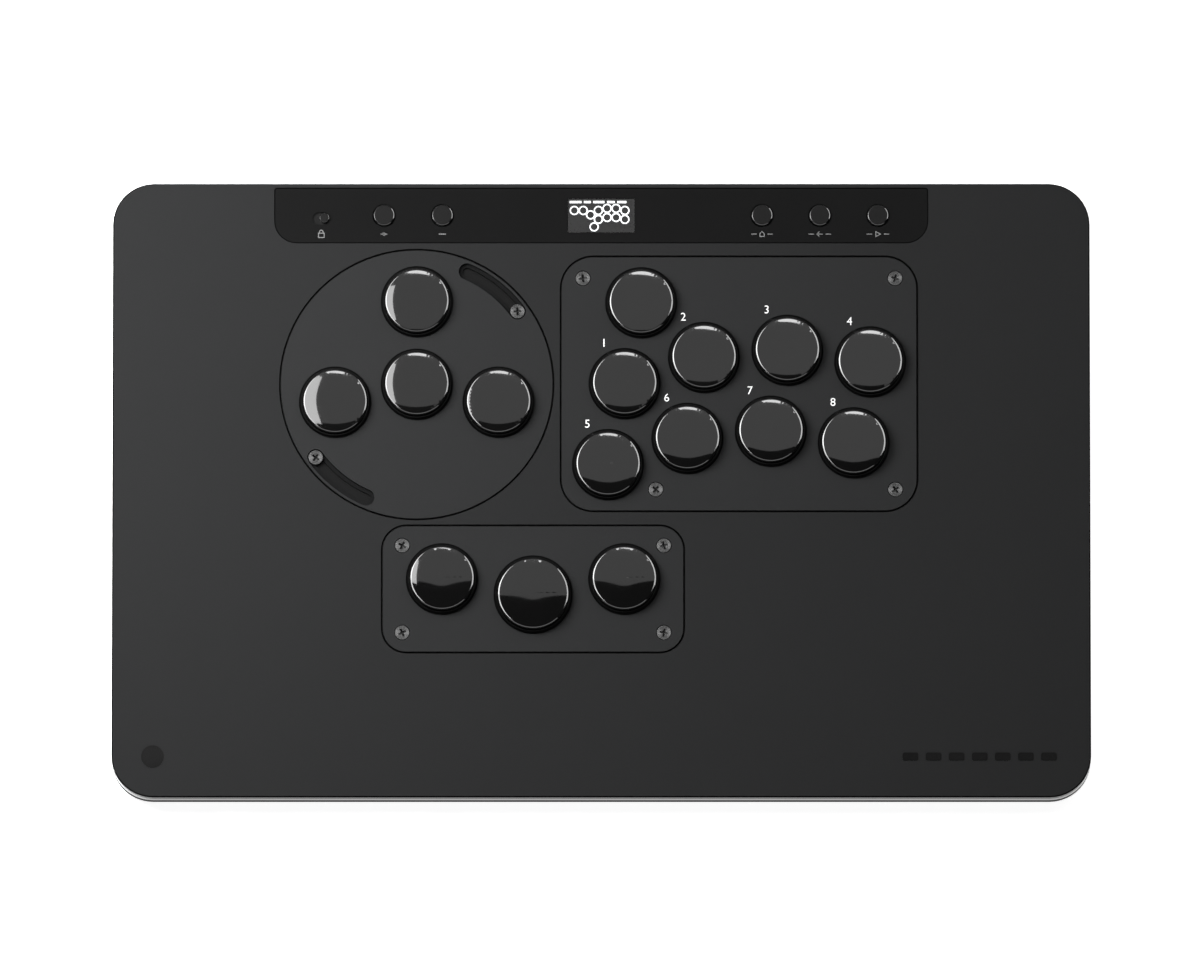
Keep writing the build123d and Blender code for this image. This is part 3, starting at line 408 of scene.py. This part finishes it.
def finish(name, effect, values, plain=(), relief=0.1, source="Object", edge=None,
           recess_level=0.0, lacquered_edge=False, glow=False):
    """A material whose colour, roughness and relief come from one effect.

    edge gives the colour and roughness of walls and bevels, where they differ,
    recess_level is the height under which everything is darker, and lacquered_edge puts a
    clear coat on the edges."""
    material, tree, shader = standard_material(name, dict(plain))
    place = add_node(tree, "ShaderNodeTexCoord")
    pattern = add_node(tree, "ShaderNodeGroup", {"node_tree": effect}, values)
    tree.links.new(place.outputs[source], pattern.inputs[0])
    colour, roughness = pattern.outputs["Colour"], pattern.outputs["Roughness"]
    # On the metal the edge colour and the darkening under recess_level are painted shade.
    if edge is not None:
        border = add_node(tree, "ShaderNodeGroup", {"node_tree": edges},
                          {"Edge Colour": (*edge[0], 1), "Edge Roughness": edge[1],
                           "Recess Level": recess_level},
                          {"Normal": place.outputs["Normal"], "Colour": colour,
                           "Position": place.outputs["Object"], "Roughness": roughness})
        colour, roughness = border.outputs["Colour"], border.outputs["Roughness"]
        if lacquered_edge:
            tree.links.new(arithmetic(tree, "SUBTRACT", 1.0, border.outputs["Height"]),
                           shader.inputs["Coat Weight"])
    tree.links.new(colour, shader.inputs["Base Color"])
    tree.links.new(roughness, shader.inputs["Roughness"])
    if glow:
        tree.links.new(colour, shader.inputs["Emission Color"])
    bump = add_node(tree, "ShaderNodeBump", values={"Strength": relief,
                                                    "Distance": BUMP_DISTANCE},
                    sources={"Height": pattern.outputs["Height"]})
    tree.links.new(bump.outputs["Normal"], shader.inputs["Normal"])
    return material


def grey(level, warmth=0.0):
    """A grey of this brightness, a little warmer or cooler, with alpha."""
    return (level * (1 + warmth), level, level * (1 - warmth), 1)


# %% Anodised and lacquered metal
SATIN = {"Specular IOR Level": 0.02}
# The edge colours below are painted shade: walls and bevels are nearly black where they would
# look unlit.  Faces of the plates lower than 0.3 mm under their top are painted darker as shade.
GLOSSY_EDGE_PAINTED_SHADE = ((0.003, 0.003, 0.003), 0.12)
SATIN_EDGE_PAINTED_SHADE = ((0.009, 0.009, 0.009), 0.3)
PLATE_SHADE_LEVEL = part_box("action_plate")[1].z - 0.3 * MM
FINISH = {
    "panel_metal": finish("panel_metal", grain, {
        "Colour": grey(0.014, -0.02), "Grain Spread": 0.5, "Patch Spread": 0.10,
        "Roughness": 0.55, "Roughness Spread": 0.06}, SATIN, 0.25, edge=GLOSSY_EDGE_PAINTED_SHADE),
    "plate_metal": finish("plate_metal", grain, {
        "Colour": grey(0.017, -0.02), "Grain Spread": 0.5, "Patch Spread": 0.10,
        "Roughness": 0.55, "Roughness Spread": 0.06}, SATIN, 0.25, edge=SATIN_EDGE_PAINTED_SHADE,
        recess_level=PLATE_SHADE_LEVEL),
    "tray_metal": finish("tray_metal", grain, {
        "Colour": grey(0.010), "Grain Scale": 2600.0, "Grain Spread": 0.5,
        "Roughness": 0.6}, {"Specular IOR Level": 0.03}, 0.6),
    "frame_metal": finish("frame_metal", lines, {
        "Stretch": (25.0, 1600.0, 25.0), "Colour": grey(0.004), "Roughness": 0.45},
        {"Metallic": 1.0}, 0.2),
    "trim_gloss": finish("trim_gloss", marks, {
        "Colour": grey(0.006), "Roughness": 0.10, "Smudge Spread": 0.05},
        {"Specular IOR Level": 0.25}, 0.02),
}
print("metals:", sorted(FINISH))

# %% Plastics, rubber and glass
FINISH.update({
    "cap_gloss": finish("cap_gloss", marks, {
        "Colour": grey(0.003), "Roughness": 0.03, "Smudge Spread": 0.02,
        "Hair Depth": 0.04}, relief=0.01),
    "small_cap": finish("small_cap", marks, {
        "Colour": grey(0.002), "Roughness": 0.36, "Smudge Spread": 0.04},
        {"Specular IOR Level": 0.055, "Coat Roughness": 0.03}, 0.02,
        edge=((0.002, 0.002, 0.002), 0.1), lacquered_edge=True),
    "bezel_gloss": finish("bezel_gloss", marks, {
        "Colour": grey(0.002), "Roughness": 0.20, "Smudge Spread": 0.04},
        {"Specular IOR Level": 0.06}, 0.02),
    "strip_gloss": finish("strip_gloss", grain, {
        "Colour": grey(0.0008, -0.02), "Grain Spread": 0.3, "Roughness": 0.36,
        "Roughness Spread": 0.05}, {"Specular IOR Level": 0.035}, 0.15,
        edge=((0.003, 0.003, 0.003), 0.08)),
    "badge_gloss": finish("badge_gloss", marks, {
        "Colour": grey(0.003), "Roughness": 0.25, "Smudge Spread": 0.06},
        {"Specular IOR Level": 0.06}, 0.02),
    "display_dark": finish("display_dark", grain, {
        "Colour": grey(0.004), "Grain Scale": 2000.0, "Roughness": 0.3},
        {"Specular IOR Level": 0.1}, 0.05),
    "component_black": finish("component_black", grain, {
        "Colour": grey(0.012), "Roughness": 0.5}, relief=0.4),
    "switch_plastic": finish("switch_plastic", grain, {
        "Colour": grey(0.03), "Roughness": 0.45}, relief=0.3),
    "slider_grey": finish("slider_grey", grain, {
        "Colour": grey(0.06), "Grain Spread": 0.3, "Roughness": 0.4},
        {"Specular IOR Level": 0.1}, 0.2),
    "foot_rubber": finish("foot_rubber", grain, {
        "Colour": grey(0.014, 0.03), "Grain Scale": 1800.0, "Grain Spread": 0.6,
        "Roughness": 0.85}, {"Specular IOR Level": 0.2}, 0.8),
    "ribbon_plastic": finish("ribbon_plastic", lines, {
        "Stretch": (900.0, 8.0, 8.0), "Colour": grey(0.30), "Line Spread": 0.5,
        "Roughness": 0.45}, relief=0.8),
    "window_glass": finish("window_glass", marks, {
        "Colour": grey(0.25), "Dust Spread": 0.04, "Roughness": 0.02, "Smudge Spread": 0.01,
        "Hair Depth": 0.02}, {"Transmission Weight": 1.0, "IOR": 1.5}, 0.005),
})
print("with plastics:", len(FINISH))

# %% Hardware and circuit boards
FINISH.update({
    "screw_black": finish("screw_black", lines, {
        "Stretch": (300.0, 300.0, 2500.0), "Colour": grey(0.06), "Roughness": 0.32},
        {"Metallic": 1.0}, 0.2),
    "spring_steel": finish("spring_steel", lines, {
        "Stretch": (1500.0, 1500.0, 100.0), "Colour": grey(0.45), "Roughness": 0.25},
        {"Metallic": 1.0}, 0.1),
    "standoff_brass": finish("standoff_brass", lines, {
        "Stretch": (200.0, 200.0, 3000.0), "Colour": (0.60, 0.42, 0.16, 1),
        "Roughness": 0.28}, {"Metallic": 1.0}, 0.2),
    "socket_steel": finish("socket_steel", lines, {
        "Stretch": (40.0, 40.0, 2400.0), "Colour": grey(0.42), "Roughness": 0.28},
        {"Metallic": 1.0}, 0.15),
    "board_fr4": finish("board_fr4", tracks, {}, relief=0.5),
})
SMALL_CAPS = ("button_lamp", "button_mode", "button_home", "button_back", "button_start",
              "lock_knob")
for name, node in frame["nodes"].items():
    for material_slot in node.material_slots:
        slot_name = material_slot.material.name.split(".")[0]
        material_slot.material = FINISH["small_cap" if name in SMALL_CAPS else slot_name]
print(len(frame["nodes"]), "nodes finished with", len(FINISH), "materials")

# %% [markdown]
# ## Making new pieces
#
# A new piece is worked out as arrays of points.  Two shapes are enough for the marks: a tape,
# which is a small rectangle carried along a path, and a turned head.  Both are closed
# shells, so each piece is a solid that could be printed.

# %% Helpers that turn arrays into pieces
def wrap_faces(along, around_count, closed):
    """Quads of a tube whose points are numbered ring after ring."""
    ring, spot = np.meshgrid(np.arange(along if closed else along - 1),
                             np.arange(around_count), indexing="ij")
    next_ring, next_spot = (ring + 1) % along, (spot + 1) % around_count
    corners = [ring * around_count + spot, ring * around_count + next_spot,
               next_ring * around_count + next_spot, next_ring * around_count + spot]
    return np.stack(corners, -1).reshape(-1, 4)


def make_piece(name, points, faces, material, slot, body="root", flat_map=None):
    """A mesh object in metres from points in millimetres, finished and riding on a body."""
    mesh = bpy.data.meshes.new(name)
    mesh.from_pydata((np.asarray(points) * MM).tolist(), [], [list(face) for face in faces])
    mesh.update()
    if flat_map is not None:
        layer = mesh.uv_layers.new(name="turned")
        corner = np.empty(len(mesh.loops), int)
        mesh.loops.foreach_get("vertex_index", corner)
        layer.data.foreach_set("uv", np.asarray(flat_map)[corner].ravel())
    mesh.materials.append(material)
    piece = bpy.data.objects.new(name, mesh)
    bpy.context.scene.collection.objects.link(piece)
    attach(piece, body)
    print(name, "has", len(mesh.polygons), "faces")
    return piece


def joined(shells):
    """Many (points, faces) shells as one."""
    starts = np.cumsum([0] + [len(points) for points, _ in shells])
    faces = [[corner + start for corner in face]
             for (_, shell_faces), start in zip(shells, starts) for face in shell_faces]
    return np.concatenate([points for points, _ in shells]), faces


def tape(path, width, low, high, closed=False):
    """A rectangle from low to high and this wide, carried along a path of (x, y) points.

    At each point the side steps out by half the width along the mean of the two
    neighbouring normals, divided by the cosine of half the turn, so corners stay sharp."""
    path = np.asarray(path, float)
    step = np.roll(path, -1, 0) - path
    if not closed:
        step[-1] = step[-2]
    step /= np.linalg.norm(step, axis=1, keepdims=True)
    before = np.roll(step, 1, 0)
    if not closed:
        before[0] = step[0]
    normal, normal_before = (np.stack([-way[:, 1], way[:, 0]], 1) for way in (step, before))
    mean = normal + normal_before
    mean /= np.linalg.norm(mean, axis=1, keepdims=True)
    reach = width / 2 / np.sum(mean * normal, 1, keepdims=True) * mean
    section = [(path - reach, low), (path + reach, low), (path + reach, high),
               (path - reach, high)]
    points = np.stack([np.column_stack([place, np.full(len(path), level)])
                       for place, level in section], 1).reshape(-1, 3)
    faces = wrap_faces(len(path), 4, closed).tolist()
    if not closed:
        end = 4 * len(path) - 4
        faces += [[0, 1, 2, 3], [end + 3, end + 2, end + 1, end]]
    return points, faces


def circle(middle, radius, count=40):
    """Points evenly round a circle, anticlockwise."""
    angle = np.arange(count) * 2 * pi / count
    return np.column_stack([middle[0] + radius * np.cos(angle),
                            middle[1] + radius * np.sin(angle)])


# %% [markdown]
# ## Turned screws
#
# Ten black screws with a cross recess hold the inlaid plates.  Their faces are turned on a
# lathe, and the fine rings spread a lamp's reflection into two bright wedges, like a bow
# tie.  The CAD model has plain heads, so the screws are made again with a map for the rings.
# A square grid pressed into a round disc keeps its lines straight near the middle, where
# the walls of the recess are.

# %% One screw as a grid pressed into a disc
HEAD_R, HEAD_ROUND, HEAD_HEIGHT = 2.75, 0.2, 1.6
RECESS_HALF_L, RECESS_HALF_W, RECESS_DEPTH = 1.5, 0.4, 1.0
SHANK_R, SHANK_LENGTH = 1.5, 4.7
face_r = HEAD_R - HEAD_ROUND
half_l, half_w = RECESS_HALF_L / face_r, RECESS_HALF_W / face_r
WALL = 0.006
ticks = np.array([0, 0.5 * half_w, half_w - WALL, half_w + WALL, 0.26, 0.36, 0.47,
                  half_l - WALL, half_l + WALL, 0.68, 0.79, 0.90, 1.0])
ticks = np.concatenate([-ticks[:0:-1], ticks])


def screw(middle, turn):
    """Points, faces and map of a screw whose face is the grid x = u sqrt(1 - v^2 / 2).

    y is the same with u and v exchanged.  The face sinks by the depth of the recess where
    one of |u|, |v| is inside its width and the other inside its length, less so towards
    its ends.  Below the face a profile of radii and heights follows the disc's border."""
    u, v = np.meshgrid(ticks, ticks, indexing="ij")
    x, y = u * np.sqrt(1 - v ** 2 / 2), v * np.sqrt(1 - u ** 2 / 2)
    narrow, wide = np.minimum(abs(u), abs(v)), np.maximum(abs(u), abs(v))
    sunk = (narrow < half_w) & (wide < half_l)
    depth = np.where(sunk, RECESS_DEPTH * (1 - 0.5 * wide / half_l), 0)
    count = len(ticks)
    number = np.arange(count * count).reshape(count, count)
    faces = np.stack([number[:-1, :-1], number[1:, :-1], number[1:, 1:], number[:-1, 1:]],
                     -1).reshape(-1, 4).tolist()
    border = np.concatenate([number[:-1, 0], number[-1, :-1], number[:0:-1, -1],
                             number[0, :0:-1]])
    way = np.stack([x, y], -1).reshape(-1, 2)[border]
    bend = np.linspace(0, pi / 2, 5)[1:]
    profile = [(face_r + HEAD_ROUND * sin(a), HEAD_ROUND * (cos(a) - 1)) for a in bend]
    profile += [(HEAD_R, -HEAD_HEIGHT), (SHANK_R, -HEAD_HEIGHT),
                (SHANK_R, -HEAD_HEIGHT - SHANK_LENGTH)]
    points = [np.stack([x * face_r, y * face_r, -depth], -1).reshape(-1, 3)]
    points += [np.column_stack([way * radius, np.full(len(way), level)])
               for radius, level in profile]
    ring = border
    for layer in range(len(profile)):
        lower = count * count + layer * len(border) + np.arange(len(border))
        faces += np.stack([ring, lower, np.roll(lower, -1), np.roll(ring, -1)], -1).tolist()
        ring = lower
    faces.append(ring[::-1].tolist())
    points = np.concatenate(points)
    flat_map = points[:, :2] / (2 * HEAD_R) + 0.5
    turned = np.array([[cos(turn), -sin(turn)], [sin(turn), cos(turn)]])
    points[:, :2] = points[:, :2] @ turned.T
    return points + np.asarray(middle), faces, flat_map


# %% Ten screws where the CAD screws are
def screw_middles(node):
    """The middles of the heads' tops: corners closer than a head's width are one screw."""
    mesh = frame["nodes"][node].data
    corners = np.empty(len(mesh.vertices) * 3)
    mesh.vertices.foreach_get("co", corners)
    corners = corners.reshape(-1, 3) / MM
    found = []
    while len(corners):
        near = np.linalg.norm(corners[:, :2] - corners[0, :2], axis=1) < 3 * HEAD_R
        group, corners = corners[near], corners[~near]
        middle = (group.min(0) + group.max(0)) / 2
        found.append((middle[0], middle[1], group[:, 2].max()))
    return sorted(found)


SCREW_TURNS = (25, 62, 8, 49, 80, 17, 36, 71, 55, 3)
# Everything on a head deeper than SHADE_START under its top, the cross recess with it, is
# painted darker as shade.
SHADE_START = 0.12      # the recess is darker from this depth on
turned_screws = [screw(middle, radians(turn)) for middle, turn in zip(
    screw_middles("plate_screws") + screw_middles("disc_screws"), SCREW_TURNS)]
screw_points, screw_faces = joined([(points, faces) for points, faces, _ in turned_screws])
# The walls and rim of each head take a darker edge colour, a painted shade, and the cross recess
# is painted darker still.
turned_black = finish("turned_black", rings, {
    "Colour": grey(0.026), "Rings": 34.0, "Ring Spread": 0.4, "Roughness": 0.34,
    "Roughness Spread": 0.08}, {"Metallic": 1.0}, 0.3, source="UV",
    edge=((0.006, 0.006, 0.006), 0.3),
    recess_level=(turned_screws[0][0][:, 2].max() - SHADE_START) * MM)
plate_screws = make_piece("turned_plate_screws", screw_points, screw_faces, turned_black,
                          "screw_black", flat_map=np.concatenate([
                              flat_map for _, _, flat_map in turned_screws]))
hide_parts("plate_screws", "disc_screws")

# %% [markdown]
# ## Printed numbers
#
# Eight of the action buttons have a small white mark beside them, screen printed on the
# plate.  Here they are plain numbers.  Blender's text object is the easy way to real
# figures; it is turned into a mesh, scaled to the right height and given the thickness of a
# coat of ink, so it can't flicker against the plate.

# %% Numbers one to eight
NUMBER_HEIGHT, NUMBER_STEP_X, NUMBER_STEP_Y = 3.0, -7.7, 15.5
INK_LIFT, INK = 0.005, 0.03
TEXT_HALF_DEPTH = 0.01


def number_shell(figure, middle, level):
    """Points and faces of a figure, centred, NUMBER_HEIGHT high, with its ink's thickness."""
    text = bpy.data.curves.new("figure", "FONT")
    text.body = str(figure)
    text.extrude = TEXT_HALF_DEPTH
    text.resolution_u = 4
    holder = bpy.data.objects.new("figure", text)
    bpy.context.scene.collection.objects.link(holder)
    bpy.context.view_layer.update()
    mesh = bpy.data.meshes.new_from_object(
        holder.evaluated_get(bpy.context.evaluated_depsgraph_get()))
    points = np.empty(len(mesh.vertices) * 3)
    mesh.vertices.foreach_get("co", points)
    points = points.reshape(-1, 3)
    faces = [list(polygon.vertices) for polygon in mesh.polygons]
    bpy.data.objects.remove(holder)
    low, high = points.min(0), points.max(0)
    scale = NUMBER_HEIGHT / (high[1] - low[1])
    points = (points - (low + high) / 2) * scale
    points[:, 2] = np.where(points[:, 2] > 0, level + INK, level)
    points[:, :2] += middle
    return points, faces


plate_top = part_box("action_plate")[1].z / MM
number_shells = []
for number in range(1, 9):
    low, high = (np.array(corner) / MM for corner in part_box(f"button_action_{number}"))
    middle = (low + high)[:2] / 2 + (NUMBER_STEP_X, NUMBER_STEP_Y)
    number_shells.append(number_shell(number, middle, plate_top + INK_LIFT))
white_ink = finish("white_ink", grain, {
    "Colour": grey(0.75), "Grain Scale": 4000.0, "Grain Spread": 0.15, "Roughness": 0.5},
    relief=0.2)
make_piece("button_numbers", *joined(number_shells), white_ink, "plate_metal")

# %% [markdown]
# ## Small signs on the strip
#
# Each small button has a sign in front of it, in grey ink.  The signs here are plain ones: a
# padlock for the slider, a lamp, a bar for the mode, a house, an arrow and a triangle.  All
# are tapes along short paths, flanked by dashes that give them the width of a word.

# %% Paths of the signs, in millimetres around the middle of each
def dash(x, y, length):
    """A short level stroke around a point."""
    return [(x - length / 2, y), (x + length / 2, y)]


def dashes(reach):
    """A dash on each side of a sign."""
    return [(dash(side * reach, 0, 2.0), False) for side in (-1, 1)]


SIGNS = {
    "lock_switch": (0.34, [([(-1.05, -1.3), (1.05, -1.3), (1.05, 0.35), (-1.05, 0.35)], True),
                           (np.array([(0.72 * cos(a), 0.55 + 0.95 * sin(a))
                                      for a in np.linspace(0, pi, 13)]), False)]),
    "button_lamp": (0.28, [(circle((0, 0), 0.45, 20), True),
                           (dash(-1.0, 0, 0.5), False), (dash(1.0, 0, 0.5), False)]),
    "button_mode": (0.38, [(dash(0, 0, 2.7), False)]),
    "button_home": (0.30, [([(-0.8, -0.9), (0.8, -0.9), (0.8, 0.2), (0, 1.0),
                             (-0.8, 0.2)], True)] + dashes(3.0)),
    "button_back": (0.30, [([(1.1, 0), (-1.1, 0)], False),
                           ([(-0.2, 0.9), (-1.1, 0), (-0.2, -0.9)], False)] + dashes(3.2)),
    "button_start": (0.30, [([(-0.8, -0.95), (1.0, 0), (-0.8, 0.95)], True)] + dashes(3.2)),
}
SIGN_LINE_Y = 96.9
strip_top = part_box("strip_cover")[1].z / MM
sign_shells = []
for node, (pen, strokes) in SIGNS.items():
    low, high = (np.array(corner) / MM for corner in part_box(node))
    middle = np.array([(low + high)[0] / 2, SIGN_LINE_Y])
    sign_shells += [tape(np.asarray(stroke) + middle, pen, strip_top + INK_LIFT,
                         strip_top + INK_LIFT + INK, closed) for stroke, closed in strokes]
grey_ink = finish("grey_ink", grain, {
    "Colour": grey(0.050), "Grain Scale": 4000.0, "Grain Spread": 0.2, "Roughness": 0.5},
    relief=0.2)
make_piece("strip_signs", *joined(sign_shells), grey_ink, "strip_gloss")

# %% [markdown]
# ## The picture on the display
#
# Under the clear window the display shows a small map of the buttons: a ring for each of
# twelve, and a line of status above.  The marks glow a little, as a display's do.
# They float just above the dark face, inside the gap under the window.

# %% Rings and bars of light
DISPLAY_RINGS = [(-10.07, 2.06), (-6.73, 2.06), (-3.98, 0.41), (-1.07, 2.06), (2.18, 2.84),
                 (5.53, 2.84), (8.83, 2.06), (-1.07, -1.32), (2.18, -0.59), (5.53, -0.59),
                 (8.83, -1.32), (-2.66, -4.15)]
DISPLAY_BARS = [(-9.6, 4.4), (-5.2, 2.6), (-0.9, 4.2), (3.6, 2.8), (7.7, 3.4)]
RING_R, RING_LINE, BAR_Y, BAR_LINE = 1.50, 0.48, 5.25, 0.85
LIGHT_LOW, LIGHT_HIGH = 0.01, 0.03
display_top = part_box("display_module")[1].z / MM
low, high = (np.array(corner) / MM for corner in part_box("display_window"))
window_middle = (low + high)[:2] / 2
light_shells = [tape(circle(window_middle + place, RING_R), RING_LINE,
                     display_top + LIGHT_LOW, display_top + LIGHT_HIGH, True)
                for place in DISPLAY_RINGS]
light_shells += [tape(np.array(dash(x, BAR_Y, length)) + window_middle, BAR_LINE,
                      display_top + LIGHT_LOW, display_top + LIGHT_HIGH)
                 for x, length in DISPLAY_BARS]
display_light = finish("display_light", grain, {
    "Colour": grey(0.80, -0.02), "Grain Scale": 6000.0, "Grain Spread": 0.25,
    "Roughness": 0.4}, {"Emission Strength": 8.0}, 0.05, glow=True)
make_piece("display_picture", *joined(light_shells), display_light, "display_dark")

# %% [markdown]
# ## Contacts in the USB socket
#
# The socket in the back wall has a thin tongue with gilded contacts.  They are only seen
# from behind, but without them the socket is a bare slot.  They are tapes too, laid on the
# tongue.

# %% Gilded contacts on the tongue
CONTACT_STEP, CONTACT_WIDTH, CONTACT_COUNT, CONTACT_LENGTH = 0.5, 0.26, 12, 4.6
TONGUE_HALF, CONTACT_THICK, TONGUE_SET_BACK = 0.35, 0.04, 1.15
low, high = (np.array(corner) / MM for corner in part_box("usb_socket"))
socket_middle, mouth_y = (low + high) / 2, high[1]
contact_x = (np.arange(CONTACT_COUNT) - (CONTACT_COUNT - 1) / 2) * CONTACT_STEP
tongue_top = socket_middle[2] + TONGUE_HALF
contact_shells = [tape([(x, mouth_y - TONGUE_SET_BACK - CONTACT_LENGTH),
                        (x, mouth_y - TONGUE_SET_BACK)], CONTACT_WIDTH, tongue_top,
                       tongue_top + CONTACT_THICK) for x in contact_x + socket_middle[0]]
gilt = finish("gilt", lines, {
    "Stretch": (3000.0, 60.0, 60.0), "Colour": (0.75, 0.52, 0.18, 1), "Roughness": 0.22},
    {"Metallic": 1.0}, 0.05)
make_piece("usb_contacts", *joined(contact_shells), gilt, "socket_steel")

# %% [markdown]
# ## The floor
#
# A plain white table.  It glows a little by itself, so that it stays white right up to the
# case and its shadow is soft and faint, as on a lit table for product pictures.

# %% A white table
FLOOR_HALF = 9.0
floor_mesh = bpy.data.meshes.new("floor")
floor_mesh.from_pydata([(-FLOOR_HALF, -FLOOR_HALF, 0), (FLOOR_HALF, -FLOOR_HALF, 0),
                        (FLOOR_HALF, FLOOR_HALF, 0), (-FLOOR_HALF, FLOOR_HALF, 0)],
                       [], [(0, 1, 2, 3)])
floor_mesh.materials.append(finish("floor", grain, {
    "Colour": grey(0.82), "Grain Scale": 800.0, "Grain Spread": 0.02, "Patch Spread": 0.01,
    "Roughness": 0.9}, {"Specular IOR Level": 0.1, "Emission Color": (1, 1, 1, 1),
                        "Emission Strength": 0.93}, 0.1))
floor = bpy.data.objects.new("floor", floor_mesh)
bpy.context.scene.collection.objects.link(floor)
floor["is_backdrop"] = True
print("floor of", 2 * FLOOR_HALF, "m")

# %% Size of the finished model, and the end
low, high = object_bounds()
